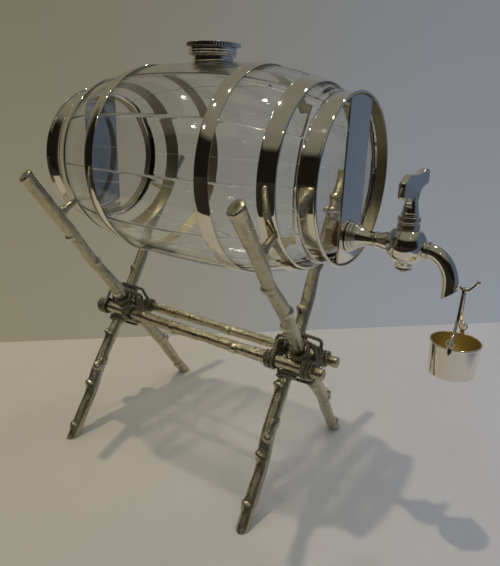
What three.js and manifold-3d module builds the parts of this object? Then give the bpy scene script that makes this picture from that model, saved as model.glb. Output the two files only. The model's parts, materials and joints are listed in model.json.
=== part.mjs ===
// Spirit barrel: a clear glass cask in plated hoops, lying in a cradle of four twig-shaped legs.
// A tap on one end fills the little bucket that hangs from its spout, and a screw cap closes the neck.
// Millimetres, +Z up. The cask's axis runs along X, with the tap at +X and the near side at -Y.

import * as THREE from 'three';
import { mergeVertices } from 'three/addons/utils/BufferGeometryUtils.js';
import Module from 'manifold-3d';

const wasm = await Module();
wasm.setup();

// Clearances
const gap = 0.3; // between fixed pieces that touch
const runningFit = 0.15; // round the plug in its bore
const overrun = 2; // how far a cutting tool passes the faces that it cuts

// Smoothness, in steps round a circle
const bigRound = 40;
const smallRound = 20;
const twigRound = 10;
const wireRound = 8;
const spoutSteps = 12;

// The glass cask
const cask = {
  halfLength: 110.1, // from the middle to the rim of an end band
  axisHeight: 215.2,
  bellyRadius: 67.2,
  shoulderRadius: 50.4,
  wall: 3.6,
  endWall: 4.6,
  rimDepth: 6.1, // from the rim of an end band back to the glass
  edgeRound: 1,
};
const bellyPower = 2.8;
const bellySteps = 10;

// Bands, hoops and straps. A hoop's place is the distance from the rim of the end band to its middle.
const endBand = { width: 12.2, wall: 0.9, beadRadius: 1, sink: 0.4 };
const hoop = { wall: 0.9, outerPlace: 26.7, outerWidth: 9.8, innerPlace: 63.7, innerWidth: 9.1 };
const strap = { width: 30.1, thickness: 1.2, setBack: 0.8 };
const beadTurns = [130, 90, 45, 0, -45, -90]; // degrees round the bead

// The neck, its threaded mount and the screw cap
const neck = { x: 4, radius: 12, bore: 9.5, height: 5.3 }; // height above the belly
const mount = { wall: 1.7, threadWall: 1, threadHeight: 2.5 };
const thread = { pitch: 1.2, width: 0.7, depth: 0.45, turns: 1.25, stepsInTurn: 24 };
const cap = { play: 0.55, wall: 2.3, web: 0.9, overhang: 1, disc: 2.6, knurl: 0.35 };
const knurls = 60;
const seal = { play: 1.4, thickness: 1.2 };

// The tap, whose own places are taken from the middle of its ball
const tap = { reach: 33.8, below: 32 }; // from the rim of the end band, and below the cask's axis
const rose = { radius: 10, ringStep: 1.7, neckRadius: 4.4, neckFromBall: 19, flare: 5.8 };
const ringShares = [1, 0.9, 0.78]; // of the rose's radius
const bellShares = [0.15, 0.4, 0.7, 1]; // of the way along the bell
const tail = { radius: 4, pastNut: 1.4 };
const waterway = 1.9; // radius of the bore through tail, plug and spout
const ball = { radius: 11.7, base: 4.9, footDrop: 1.4, crown: 2.5 };
const ballTurns = [-60, -42, -24, -8, 8, 22, 36, 48]; // degrees up the ball's side
const collar = { radius: 6.45, step: 3.2, grooveWidth: 0.9, grooveDepth: 0.65 };
const gasket = { radius: 8, inner: 1.5 };
const nut = { radius: 7.6, thickness: 4 };
const nutSides = 6;

// The key: plug, handle, washer and screw
const plug = { topRadius: 4.3, footRadius: 3.2, neckRadius: 5, neckTip: 4, neckHeight: 7.6 };
const handle = { span: 14, height: 20.6, thickness: 4.2, bevel: 0.7, sunk: 2.6 };
// The handle's outline from its foot, up the far side and down the near side, as shares of span and height
const handleShares = [
  [0.31, 0], [0.33, 0.14], [0.4, 0.36], [0.5, 0.47], [0.72, 0.54], [0.94, 0.58], [1, 0.63], [1, 0.92],
  [0.93, 0.985], [0.72, 1], [0.48, 0.985], [0.28, 0.92], [0, 0.89], [-0.5, 0.9], [-0.58, 0.87],
  [-0.94, 0.68], [-0.97, 0.63], [-0.95, 0.27], [-0.9, 0.235], [-0.62, 0.26], [-0.42, 0.21],
  [-0.31, 0.13], [-0.31, 0],
];
const restTurn = THREE.MathUtils.degToRad(10); // how far the handle stands from straight across
const washer = { radius: 4.9, thickness: 1.5 };
const screw = { radius: 2.5, head: 1.4, slot: 0.7, slotDepth: 0.6, shank: 1, length: 6 };

// Spout and bucket hook. The spout's shares are of its reach and drop, the hook's of its reach and lift.
const spout = { radius: 4.5, below: 1.6, reach: 17.6, drop: 26.9, seat: 2.1, lean: 3.5 };
const spoutRing = { radius: 5.5, width: 2.2 };
const spoutShares = [[0, 0], [0.23, 0], [0.51, 0.07], [0.78, 0.25], [0.94, 0.48], [0.99, 0.72], [1, 1]];
const hook = { radius: 0.9, ball: 1.2, reach: 9.1, lift: 5.9, saddleBelow: 20.3 };
const hookShares = [[0, 0.3], [0.1, 0.14], [0.285, 0], [0.54, 0.1], [0.78, 0.49], [1, 1]];
const saddleShare = hookShares[2][0];

// Bail and bucket. The bail's shares are of its half width and of its drop from the hook's saddle.
const bail = { radius: 0.9, drop: 26.4 };
const bailShares = [[0.13, 0.11], [0.17, 0.34], [0.23, 0.55], [0.38, 0.735], [0.59, 0.925], [0.77, 1]];
const archTurns = [60, 90, 120]; // degrees over the hook
const bucket = { rimRadius: 14.2, taper: 1.2, height: 19.6, wall: 0.8, rimBelowEars: 3.7 };
const ear = { play: 0.6, wall: 1.2, thickness: 1.1, shank: 1.9, reach: 4.2 };

// The cradle. Its crossings stand under the outer hoops, a little towards the back end.
const standShift = -4;
const leg = { radius: 4.6, taper: 0.3, footY: 69.2, height: 211, fromCask: 18.5, node: 0.8, nodeLength: 5 };
const legTilts = { '-1': 1.5, 1: -5.8 }; // degrees that a near and a far leg's top leans to +x
const legNodeShares = { '-1': [0.1, 0.22, 0.47, 0.62, 0.82, 0.95], 1: [0.14, 0.25, 0.5, 0.66, 0.85, 0.94] };
const spur = { radius: 3.1, tip: 2.2, fromTop: 38.9 }; // from the top of the leg down to the spur
const stub = { radius: 2.4, tip: 1.8, reach: 7.2 };
const bars = { nearRadius: 4.2, farRadius: 3.5, pastTap: 25.6, pastBack: 21.6, node: 0.7, nodeLength: 4 };
const nearNodeShares = [0.22, 0.36, 0.55, 0.78];
const farNodeShares = [0.3, 0.46, 0.68];

// The lashings, wound from twisted wire. Turns are degrees round a bar from level, far side first.
const wire = { radius: 1.2, between: 0.65, corner: 4, startY: 3 };
const frapTurns = 3;
const frapCorners = [[1, 1, 0], [-1, 1, 90], [-1, -1, 180], [1, -1, 270]]; // sides in X and Z, first degrees
const cornerShares = [0, 0.5, 1];
const firstTurns = [90, 120, 150, 180, 210, 240, 270];
const lastTurns = [-90, -60, -30, 0, 30, 60];
const loopSteps = 24;
const wireSides = 6;

// Places worked out from the sizes above
const shoulderX = cask.halfLength - endBand.width - gap;
const glassEnd = cask.halfLength - cask.rimDepth;
const bandRadius = cask.shoulderRadius - endBand.sink;
const spigotRadius = bandRadius - endBand.wall - gap;
const innerEnd = glassEnd - cask.endWall;
const outerHoopX = cask.halfLength - hoop.outerPlace;
const innerHoopX = cask.halfLength - hoop.innerPlace;
const strapFront = cask.halfLength - strap.setBack;
const strapBack = strapFront - strap.thickness;

const neckTop = cask.axisHeight + cask.bellyRadius + neck.height;
const shoulderTop = neckTop - mount.threadHeight;
const mountRadius = neck.radius + gap + mount.wall;
const threadRadius = neck.radius + gap + mount.threadWall;
const capInner = threadRadius + thread.depth + cap.play;
const skirtRadius = capInner + cap.wall;

const tapX = cask.halfLength + tap.reach;
const tapHeight = cask.axisHeight - tap.below;
const ballFoot = ball.radius + ball.footDrop;
const ballTop = ball.radius - ball.crown;
const collarTop = ballTop + 2 * collar.step + collar.grooveWidth;
const socketX = ball.radius - spout.seat;
const spoutStartX = socketX + gap;
const hookRootX = spoutStartX + spout.reach + spout.radius + gap;
const spoutPath = spoutShares.map(([x, z]) => [spoutStartX + x * spout.reach, -spout.below - z * spout.drop]);
const hookPath = hookShares.map(([x, z]) => [hookRootX + x * hook.reach, z * hook.lift - hook.saddleBelow]);

const hookX = tapX + hookRootX + saddleShare * hook.reach;
const hookHeight = tapHeight - hook.saddleBelow;
const earY = bucket.rimRadius + gap;
const earHole = bail.radius + ear.play;
const bailEndY = earY + ear.thickness + 2 * bail.radius;
const middleX = (hookX + bucket.rimRadius - cask.halfLength) / 2;

// Radius of the glass at a distance x from the middle of the cask
function bellyAt(x) {
  const share = Math.min(1, Math.abs(x) / shoulderX);
  return cask.bellyRadius - (cask.bellyRadius - cask.shoulderRadius) * share ** bellyPower;
}

// A leg passes the cask's axis at this distance, which sets how far it leans from upright
const legFromAxis = bellyAt(outerHoopX) + leg.fromCask;
const footFromAxis = Math.hypot(leg.footY, cask.axisHeight);
const legAngle = Math.atan2(leg.footY, cask.axisHeight) + Math.asin(legFromAxis / footFromAxis);
const crossHeight = leg.footY / Math.tan(legAngle);
const legSlope = (side) => Math.tan(THREE.MathUtils.degToRad(legTilts[side]));
const twist = Math.atan2((legSlope(-1) - legSlope(1)) / 2, Math.tan(legAngle));
const legShift = (leg.radius + gap / 2) / Math.cos(twist);
const crossingX = { 1: outerHoopX + standShift, '-1': standShift - outerHoopX };
const nearBarY = (leg.radius + bars.nearRadius + gap) / Math.cos(legAngle);
const farBarY = (leg.radius + bars.farRadius + gap) / Math.cos(legAngle);

// Finishes
const finishes = {
  glass: { color: 0xdfe8e6, roughness: 0.05, metalness: 0, transparent: true, opacity: 0.35 },
  plate: { color: 0xd9d9d4, roughness: 0.12, metalness: 1 },
  twig: { color: 0xbfbaa6, roughness: 0.3, metalness: 1 },
  wire: { color: 0x57534a, roughness: 0.45, metalness: 1 },
  cork: { color: 0xa87f52, roughness: 0.9, metalness: 0 },
};

// A closed solid from a three.js geometry: seams merged, slivers dropped and faces turned outwards
function solid(geometry) {
  const bare = new THREE.BufferGeometry();
  bare.setAttribute('position', geometry.getAttribute('position').clone());
  if (geometry.index) {
    bare.setIndex(geometry.index.clone());
  }
  const merged = mergeVertices(bare, 1e-4);
  const points = merged.getAttribute('position').array;
  const corners = [];
  let volume = 0;
  for (let i = 0; i < merged.index.count; i += 3) {
    const [a, b, c] = [0, 1, 2].map((k) => merged.index.array[i + k]);
    if (a !== b && b !== c && c !== a) {
      corners.push(a, b, c);
      const [p, q, r] = [a, b, c].map((k) => new THREE.Vector3().fromArray(points, 3 * k));
      volume += p.dot(q.cross(r));
    }
  }
  if (volume < 0) corners.reverse();
  return new wasm.Manifold(new wasm.Mesh({
    numProp: 3, vertProperties: new Float32Array(points), triVerts: new Uint32Array(corners),
  }));
}

// Back from a solid to a geometry
function geometryOf(body) {
  const mesh = body.getMesh();
  const geometry = new THREE.BufferGeometry();
  geometry.setAttribute('position', new THREE.BufferAttribute(new Float32Array(mesh.vertProperties), 3));
  geometry.setIndex(new THREE.BufferAttribute(new Uint32Array(mesh.triVerts), 1));
  geometry.computeVertexNormals();
  return geometry;
}

// A solid turned about Z from [radius, height] points
function turnedZ(points, steps = smallRound) {
  const profile = points.map(([radius, height]) => new THREE.Vector2(radius, height));
  return solid(new THREE.LatheGeometry(profile, steps).rotateX(Math.PI / 2));
}

// A solid turned about X from [x, radius] points
function turnedX(points, steps = bigRound) {
  const profile = points.map(([x, radius]) => new THREE.Vector2(radius, x));
  return solid(new THREE.LatheGeometry(profile, steps).rotateZ(-Math.PI / 2));
}

// A closed ring profile repeats its first point
const closed = (points) => [...points, points[0]];

function discZ(radius, low, high, steps) {
  return turnedZ([[0, low], [radius, low], [radius, high], [0, high]], steps);
}

function discX(radius, low, high, steps) {
  return turnedX([[low, 0], [low, radius], [high, radius], [high, 0]], steps);
}

// A disc about X with a round hole through it
function washerX(radius, hole, low, high, steps = smallRound) {
  return discX(radius, low, high, steps).subtract(discX(hole, low - overrun, high + overrun, smallRound));
}

function block(low, high) {
  const size = low.map((value, k) => high[k] - value);
  const geometry = new THREE.BoxGeometry(...size);
  return solid(geometry.translate(...low.map((value, k) => value + size[k] / 2)));
}

// A smooth curve through points given along X and Z, in the plane y = 0
function curveXZ(points) {
  return new THREE.CatmullRomCurve3(points.map(([x, z]) => new THREE.Vector3(x, 0, z)), false, 'centripetal');
}

// A round bar of one radius along a curve
function rod(curve, radius, steps, sides = wireRound) {
  const section = new THREE.Shape();
  section.absarc(0, 0, radius, 0, 2 * Math.PI);
  const options = { steps, extrudePath: curve, curveSegments: sides / 2, bevelEnabled: false };
  return solid(new THREE.ExtrudeGeometry(section, options));
}

// An unbroken tube of wire through points on its centreline, with flat ends
function woundTube(points, radius, sides) {
  const curve = new THREE.CatmullRomCurve3(points, false, 'centripetal');
  const steps = points.length - 1;
  const frames = curve.computeFrenetFrames(steps, false);
  const corners = [];
  const faces = [];
  for (let i = 0; i <= steps; i += 1) {
    const centre = curve.getPointAt(i / steps);
    for (let j = 0; j < sides; j += 1) {
      const turn = (2 * Math.PI * j) / sides;
      const corner = centre.clone()
        .addScaledVector(frames.normals[i], radius * Math.cos(turn))
        .addScaledVector(frames.binormals[i], radius * Math.sin(turn));
      corners.push(corner.x, corner.y, corner.z);
      const next = (j + 1) % sides;
      if (i < steps) {
        const [a, b, c, d] = [i * sides + j, i * sides + next, (i + 1) * sides + next, (i + 1) * sides + j];
        faces.push(a, b, c, a, c, d);
      }
    }
  }
  for (let j = 1; j < sides - 1; j += 1) {
    faces.push(0, j + 1, j);
    faces.push(steps * sides, steps * sides + j, steps * sides + j + 1);
  }
  const geometry = new THREE.BufferGeometry();
  geometry.setAttribute('position', new THREE.Float32BufferAttribute(corners, 3));
  geometry.setIndex(faces);
  return solid(geometry);
}

const assembly = new THREE.Group();
assembly.position.x = -middleX;

function group(parent, x, y, z) {
  const made = new THREE.Group();
  made.position.set(x, y, z);
  parent.add(made);
  return made;
}

function piece(parent, name, body, finish, place = [0, 0, 0]) {
  const mesh = new THREE.Mesh(geometryOf(body), new THREE.MeshStandardMaterial(finishes[finish]));
  mesh.name = name;
  mesh.position.set(...place);
  parent.add(mesh);
  return mesh;
}

// The outside of the cask as [x, radius] points, grown outwards by an amount
function caskOutline(grown) {
  const end = glassEnd + grown;
  const edge = spigotRadius + grown;
  const shoulder = shoulderX + grown;
  const belly = [];
  for (let i = 0; i <= bellySteps; i += 1) {
    const x = shoulderX * (2 * i / bellySteps - 1);
    belly.push([x, bellyAt(x) + grown]);
  }
  return [
    [-end, 0], [-end, edge - cask.edgeRound], [-end + cask.edgeRound, edge], [-shoulder, edge],
    ...belly,
    [shoulder, edge], [end - cask.edgeRound, edge], [end, edge - cask.edgeRound], [end, 0],
  ];
}

function makeGlass() {
  const inside = [];
  for (let i = 0; i <= bellySteps; i += 1) {
    const x = innerEnd * (2 * i / bellySteps - 1);
    inside.push([x, bellyAt(x) - cask.wall]);
  }
  const hollow = turnedX([[-innerEnd, 0], ...inside, [innerEnd, 0]]);
  const base = cask.bellyRadius - cask.wall;
  const top = neckTop - cask.axisHeight;
  const upstand = discZ(neck.radius, base, top).translate(neck.x, 0, 0);
  const mouth = discZ(neck.bore, base - overrun, top + overrun).translate(neck.x, 0, 0);
  const tapHole = discX(tail.radius + gap, innerEnd - overrun, glassEnd + overrun, smallRound)
    .translate(0, 0, -tap.below);
  return turnedX(caskOutline(0)).add(upstand).subtract(hollow).subtract(mouth).subtract(tapHole);
}

// An end band: a short sleeve with a rolled bead at its rim. End +1 is the tap's end.
function makeEndBand(end) {
  const back = cask.halfLength - endBand.width;
  const inner = bandRadius - endBand.wall;
  const bead = endBand.beadRadius;
  const beadX = cask.halfLength - bead;
  const beadY = inner + bead;
  const points = [[back, inner], [back, bandRadius]];
  for (const turn of beadTurns) {
    const angle = THREE.MathUtils.degToRad(turn);
    points.push([beadX + bead * Math.cos(angle), beadY + bead * Math.sin(angle)]);
  }
  points.push([beadX - bead, inner]);
  return turnedX(closed(points.map(([x, radius]) => [end * x, radius])));
}

// A hoop that follows the glass
function makeHoop(centre, width) {
  const places = [centre - width / 2, centre, centre + width / 2];
  const inner = places.map((x) => [x, bellyAt(x) + gap]);
  const outer = places.map((x) => [x, bellyAt(x) + gap + hoop.wall]).reverse();
  return turnedX(closed([...inner, ...outer]));
}

// A flat strap across an end, its ends cut to the band's round
function makeStrap(end) {
  const reach = bandRadius;
  const low = end > 0 ? strapBack : -strapFront;
  const plate = block([low, -strap.width / 2, -reach], [low + strap.thickness, strap.width / 2, reach]);
  return plate.intersect(discX(spigotRadius, low - overrun, low + strap.thickness + overrun));
}

const barrel = group(assembly, 0, 0, cask.axisHeight);
piece(barrel, 'glass_cask', makeGlass(), 'glass');
for (const [end, place] of [[1, 'tap_end'], [-1, 'back_end']]) {
  piece(barrel, `end_band_${place}`, makeEndBand(end), 'plate');
  piece(barrel, `outer_hoop_${place}`, makeHoop(end * outerHoopX, hoop.outerWidth), 'plate');
  piece(barrel, `inner_hoop_${place}`, makeHoop(end * innerHoopX, hoop.innerWidth), 'plate');
}
const tailHole = discX(tail.radius + gap, strapBack - overrun, strapFront + overrun, smallRound)
  .translate(0, 0, -tap.below);
piece(barrel, 'strap_tap_end', makeStrap(1).subtract(tailHole), 'plate');
piece(barrel, 'strap_back_end', makeStrap(-1), 'plate');

// One helical ridge, as a wedge swept round the mount
function makeThread(radius, low) {
  const steps = Math.round(thread.turns * thread.stepsInTurn);
  const corners = [];
  const faces = [];
  for (let i = 0; i <= steps; i += 1) {
    const turn = (2 * Math.PI * i) / thread.stepsInTurn;
    const z = low + (thread.pitch * i) / thread.stepsInTurn;
    const fade = Math.min(1, i, steps - i);
    const section = [
      [radius - thread.width, z], [radius + thread.depth * fade, z + thread.width / 2],
      [radius - thread.width, z + thread.width],
    ];
    for (const [r, height] of section) {
      corners.push(r * Math.cos(turn), r * Math.sin(turn), height);
    }
    for (let j = 0; j < 3 && i < steps; j += 1) {
      const next = (j + 1) % 3;
      faces.push(3 * i + j, 3 * i + next, 3 * i + 3 + next, 3 * i + j, 3 * i + 3 + next, 3 * i + 3 + j);
    }
  }
  faces.push(0, 2, 1, 3 * steps, 3 * steps + 1, 3 * steps + 2);
  const geometry = new THREE.BufferGeometry();
  geometry.setAttribute('position', new THREE.Float32BufferAttribute(corners, 3));
  geometry.setIndex(faces);
  return solid(geometry);
}

// Neck pieces are placed from the cask's axis
const neckGroup = group(barrel, neck.x, 0, -cask.axisHeight);

function makeMount() {
  const inner = neck.radius + gap;
  const low = cask.axisHeight + cask.shoulderRadius;
  const sleeve = turnedZ(closed([
    [inner, low], [mountRadius, low], [mountRadius, shoulderTop],
    [threadRadius, shoulderTop], [threadRadius, neckTop], [inner, neckTop],
  ]), bigRound);
  const belly = turnedX(caskOutline(gap)).translate(-neck.x, 0, cask.axisHeight);
  return sleeve.subtract(belly).add(makeThread(threadRadius, shoulderTop + thread.pitch / 4));
}

const sealBottom = neckTop + gap;
const webBottom = sealBottom + seal.thickness + gap;
const webTop = webBottom + cap.web;
const discBottom = webTop + gap;

function makeCapShell() {
  const low = shoulderTop + gap;
  return turnedZ([
    [0, webBottom], [capInner, webBottom], [capInner, low], [skirtRadius - cap.knurl, low],
    [skirtRadius, low + cap.web], [skirtRadius, webTop], [0, webTop],
  ], bigRound);
}

// The milled disc: a round outline with shallow notches
function makeCapDisc() {
  const outline = new THREE.Shape();
  for (let i = 0; i < 2 * knurls; i += 1) {
    const turn = (Math.PI * i) / knurls;
    const radius = skirtRadius + cap.overhang - (i % 2) * cap.knurl;
    const place = [radius * Math.cos(turn), radius * Math.sin(turn)];
    if (i === 0) {
      outline.moveTo(...place);
    } else {
      outline.lineTo(...place);
    }
  }
  outline.closePath();
  const disc = new THREE.ExtrudeGeometry(outline, { depth: cap.disc, bevelEnabled: false });
  return solid(disc.translate(0, 0, discBottom));
}

piece(neckGroup, 'neck_mount', makeMount(), 'plate');
piece(neckGroup, 'cap_seal', discZ(capInner - seal.play, sealBottom, sealBottom + seal.thickness), 'cork');
piece(neckGroup, 'cap_shell', makeCapShell(), 'plate');
piece(neckGroup, 'cap_disc', makeCapDisc(), 'plate');

// The tap
const tapGroup = group(assembly, tapX, 0, tapHeight);
const roseBack = strapFront + gap - tapX;
const nutFront = innerEnd - gap - gasket.inner - gap - tapX;
const tailEnd = nutFront - nut.thickness - tail.pastNut;

function plugRadius(z) {
  const share = (z + ballFoot) / (collarTop + ballFoot);
  return plug.footRadius + (plug.topRadius - plug.footRadius) * share;
}

function makeTapBody() {
  const points = [[tailEnd, 0], [tailEnd, tail.radius], [roseBack, tail.radius]];
  ringShares.forEach((share, i) => {
    const radius = rose.radius * share;
    const x = roseBack + i * rose.ringStep;
    points.push([x, radius - gap], [x + gap, radius], [x + rose.ringStep - gap, radius]);
    points.push([x + rose.ringStep, radius - gap]);
  });
  const bellStart = roseBack + ringShares.length * rose.ringStep;
  const bellEnd = -rose.neckFromBall;
  const bellRadius = rose.radius * ringShares[ringShares.length - 1] - 2 * gap;
  for (const share of bellShares) {
    const radius = rose.neckRadius + (bellRadius - rose.neckRadius) * (1 - share) ** 2;
    points.push([bellStart + (bellEnd - bellStart) * share, radius]);
  }
  points.push([-ball.radius, rose.flare], [0, rose.flare], [0, 0]);
  const pipe = turnedX(points, smallRound);
  const urn = [[0, -ballFoot], [ball.base, -ballFoot]];
  for (const turn of ballTurns) {
    const angle = THREE.MathUtils.degToRad(turn);
    urn.push([ball.radius * Math.cos(angle), ball.radius * Math.sin(angle)]);
  }
  const grooveLow = ballTop + collar.step;
  const grooveHigh = grooveLow + collar.grooveWidth;
  const waist = collar.radius - collar.grooveDepth;
  urn.push(
    [collar.radius, ballTop], [collar.radius, grooveLow], [waist, grooveLow],
    [waist, grooveHigh], [collar.radius, grooveHigh], [collar.radius, collarTop], [0, collarTop],
  );
  const bore = turnedZ([
    [0, -ballFoot - overrun], [plugRadius(-ballFoot) + runningFit, -ballFoot - overrun],
    [plugRadius(-ballFoot) + runningFit, -ballFoot], [plugRadius(collarTop) + runningFit, collarTop],
    [plugRadius(collarTop) + runningFit, collarTop + overrun], [0, collarTop + overrun],
  ]);
  const way = discX(waterway, tailEnd - overrun, ball.radius + overrun, smallRound);
  const socket = discX(spout.radius + gap, socketX, ball.radius + overrun, smallRound)
    .translate(0, 0, -spout.below);
  return pipe.add(turnedZ(urn)).subtract(bore).subtract(way).subtract(socket);
}

function makeSpout() {
  const [startX, startZ] = spoutPath[0];
  const [endX, endZ] = spoutPath[spoutPath.length - 1];
  const curve = curveXZ(spoutPath);
  const extended = curveXZ([[startX - overrun, startZ], ...spoutPath, [endX, endZ - overrun]]);
  const outer = rod(curve, spout.radius, spoutSteps, smallRound);
  const inner = rod(extended, waterway, spoutSteps);
  const ringX = ball.radius + gap;
  const ring = discX(spoutRing.radius, ringX, ringX + spoutRing.width, smallRound).translate(0, 0, startZ);
  const reach = 3 * spout.radius;
  const knife = block([-reach, -reach, -reach], [reach, reach, 0])
    .rotate([0, -THREE.MathUtils.radToDeg(Math.atan2(spout.lean, spout.radius)), 0])
    .translate(endX, 0, endZ + spout.radius);
  return outer.add(ring).subtract(inner).subtract(knife);
}

function makeHook() {
  const curve = curveXZ(hookPath);
  const [tipX, tipZ] = hookPath[hookPath.length - 1];
  const tip = solid(new THREE.SphereGeometry(hook.ball, wireRound, wireRound / 2)).translate(tipX, 0, tipZ);
  return rod(curve, hook.radius, smallRound / 2).add(tip);
}

piece(tapGroup, 'tap_body', makeTapBody(), 'plate');
piece(tapGroup, 'tap_spout', makeSpout(), 'plate');
piece(tapGroup, 'bucket_hook', makeHook(), 'plate');
const [corkLow, corkHigh] = [glassEnd + gap - tapX, strapBack - gap - tapX];
const tailFit = tail.radius + gap;
piece(tapGroup, 'outer_cork_washer', washerX(gasket.radius, tailFit, corkLow, corkHigh), 'cork');
const [innerLow, innerHigh] = [nutFront + gap, nutFront + gap + gasket.inner];
piece(tapGroup, 'inner_cork_washer', washerX(gasket.radius, tailFit, innerLow, innerHigh), 'cork');
const nutBack = nutFront - nut.thickness;
piece(tapGroup, 'tail_nut', washerX(nut.radius, tailFit, nutBack, nutFront, nutSides), 'plate');

// The key turns in the ball. Its handle lies along its own Y, and the port in line with the handle.
const key = group(tapGroup, 0, 0, 0);
key.rotation.z = -restTurn;
const plugTop = collarTop + plug.neckHeight;
const washerLow = -ballFoot - gap - washer.thickness;

function makePlug() {
  const body = turnedZ([
    [0, -ballFoot], [plugRadius(-ballFoot), -ballFoot], [plugRadius(collarTop), collarTop],
    [plugRadius(collarTop), collarTop + gap], [plug.neckRadius, collarTop + gap],
    [plug.neckTip, plugTop], [0, plugTop],
  ]);
  const port = discX(waterway, -ball.radius, ball.radius, smallRound).rotate([0, 0, 90]);
  const screwHole = discZ(screw.shank + gap, -ballFoot - overrun, -ballFoot + screw.length);
  const slotLow = plugTop - handle.sunk;
  const seat = block([-handle.thickness / 2 - gap, -plug.neckRadius, slotLow],
    [handle.thickness / 2 + gap, plug.neckRadius, plugTop + overrun]);
  return body.subtract(port).subtract(screwHole).subtract(seat);
}

// A scrolled blade on a narrow stem: its far lobe stands high and its near lobe hangs lower
function makeHandle() {
  const { span, height, bevel } = handle;
  const outline = new THREE.Shape(handleShares.map(([y, z]) => new THREE.Vector2(y * span, z * height)));
  const depth = handle.thickness - 2 * bevel;
  const blade = new THREE.ExtrudeGeometry(outline, {
    depth, bevelEnabled: true, bevelThickness: bevel, bevelSize: bevel, bevelOffset: -bevel, bevelSegments: 1,
  });
  blade.translate(0, 0, -depth / 2).rotateX(Math.PI / 2).rotateZ(Math.PI / 2);
  return solid(blade.translate(0, 0, plugTop - handle.sunk + gap));
}

function makeScrew() {
  const headTop = washerLow - gap;
  const headLow = headTop - screw.head;
  const head = discZ(screw.radius, headLow, headTop);
  const slot = block([-screw.radius - overrun, -screw.slot / 2, headLow - overrun],
    [screw.radius + overrun, screw.slot / 2, headLow + screw.slotDepth]);
  const shank = discZ(screw.shank, headTop - gap, -ballFoot + screw.length - 2 * gap);
  return head.subtract(slot).add(shank);
}

piece(key, 'tap_plug', makePlug(), 'plate');
piece(key, 'tap_handle', makeHandle(), 'plate');
const washerBody = discZ(washer.radius, washerLow, washerLow + washer.thickness)
  .subtract(discZ(screw.shank + gap, washerLow - overrun, washerLow + washer.thickness + overrun));
piece(key, 'key_washer', washerBody, 'plate');
piece(key, 'key_screw', makeScrew(), 'plate');

// The bail hangs over the hook's saddle, and its ends pass outwards through the bucket's ears
const hanging = group(assembly, hookX, 0, hookHeight);

function makeBail() {
  const top = hook.radius + gap + bail.radius;
  const half = bailShares.map(([yShare, dropShare]) => [yShare * bailEndY, -dropShare * bail.drop]);
  const ends = [[bailEndY - 2 * bail.radius, -bail.drop], [bailEndY, -bail.drop]];
  const side = [...half, ...ends];
  const arch = archTurns.map((turn) => {
    const angle = THREE.MathUtils.degToRad(turn);
    return [top * Math.cos(angle), top * Math.sin(angle)];
  });
  const shoulder = [[top, 0]];
  const mirrored = (points) => points.map(([y, z]) => [-y, z]);
  const nearSide = mirrored([...shoulder, ...side]).reverse();
  const path = [...nearSide, ...arch.reverse(), ...shoulder, ...side];
  const places = path.map(([y, z]) => new THREE.Vector3(0, y, z));
  return rod(new THREE.CatmullRomCurve3(places, false, 'centripetal'), bail.radius, bigRound);
}

piece(hanging, 'bucket_bail', makeBail(), 'plate');

// Bucket pieces are placed from the line through the ears
const bucketGroup = group(hanging, 0, 0, -bail.drop);
const rimZ = -bucket.rimBelowEars;
const baseZ = rimZ - bucket.height;

function makeBucket() {
  const inner = bucket.rimRadius - bucket.wall;
  const footRadius = bucket.rimRadius - bucket.taper;
  return turnedZ([
    [0, baseZ], [footRadius, baseZ], [bucket.rimRadius, rimZ], [inner, rimZ],
    [footRadius - bucket.wall, baseZ + bucket.wall], [0, baseZ + bucket.wall],
  ], bigRound);
}

// An ear: a round eye on a short shank against the bucket's wall
function makeEar() {
  const low = -bucket.rimBelowEars - ear.reach;
  const eye = discX(earHole + ear.wall, 0, ear.thickness, smallRound / 2).rotate([0, 0, 90]);
  const shank = block([-ear.shank, 0, low], [ear.shank, ear.thickness, 0]);
  const hole = discX(earHole, -overrun, ear.thickness + overrun, smallRound / 2).rotate([0, 0, 90]);
  return eye.add(shank).subtract(hole);
}

piece(bucketGroup, 'bucket', makeBucket(), 'plate');
piece(bucketGroup, 'ear_far', makeEar(), 'plate', [0, earY, 0]);
piece(bucketGroup, 'ear_near', makeEar(), 'plate', [0, -earY - ear.thickness, 0]);

// A twig along +Z with ring nodes at shares of its length
function makeTwig(length, startRadius, endRadius, nodeShares, node, nodeLength) {
  const rounding = node / 2;
  const points = [[0, 0], [startRadius - rounding, 0], [startRadius, rounding]];
  for (const share of nodeShares) {
    const at = share * length;
    const radius = startRadius + (endRadius - startRadius) * share;
    points.push([radius, at - nodeLength], [radius + node, at], [radius, at + nodeLength / 2]);
  }
  points.push([endRadius, length - rounding], [endRadius - rounding, length], [0, length]);
  return turnedZ(points, twigRound);
}

// A pruned side shoot, from inside its twig to a blunt tip. Directions are in the twig's YZ plane.
function makeShoot(from, direction, reach, radius, tip) {
  const profile = [[0, 0], [radius, 0], [tip, reach - tip / 2], [tip / 2, reach], [0, reach]];
  const shoot = turnedZ(profile, wireRound);
  const toward = new THREE.Vector3(...direction).normalize();
  const turn = new THREE.Quaternion().setFromUnitVectors(new THREE.Vector3(0, 0, 1), toward);
  const matrix = new THREE.Matrix4().compose(new THREE.Vector3(...from), turn, new THREE.Vector3(1, 1, 1));
  return shoot.transform(matrix.elements);
}

// A leg whose top leans to side -1, the near side, or +1. Its foot is at the origin, cut flat on the floor.
// It is made upright in X, with its shoots, and then sheared to its tilt.
const legLength = leg.height / Math.cos(legAngle);
const crossAlong = crossHeight / Math.cos(legAngle);

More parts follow.
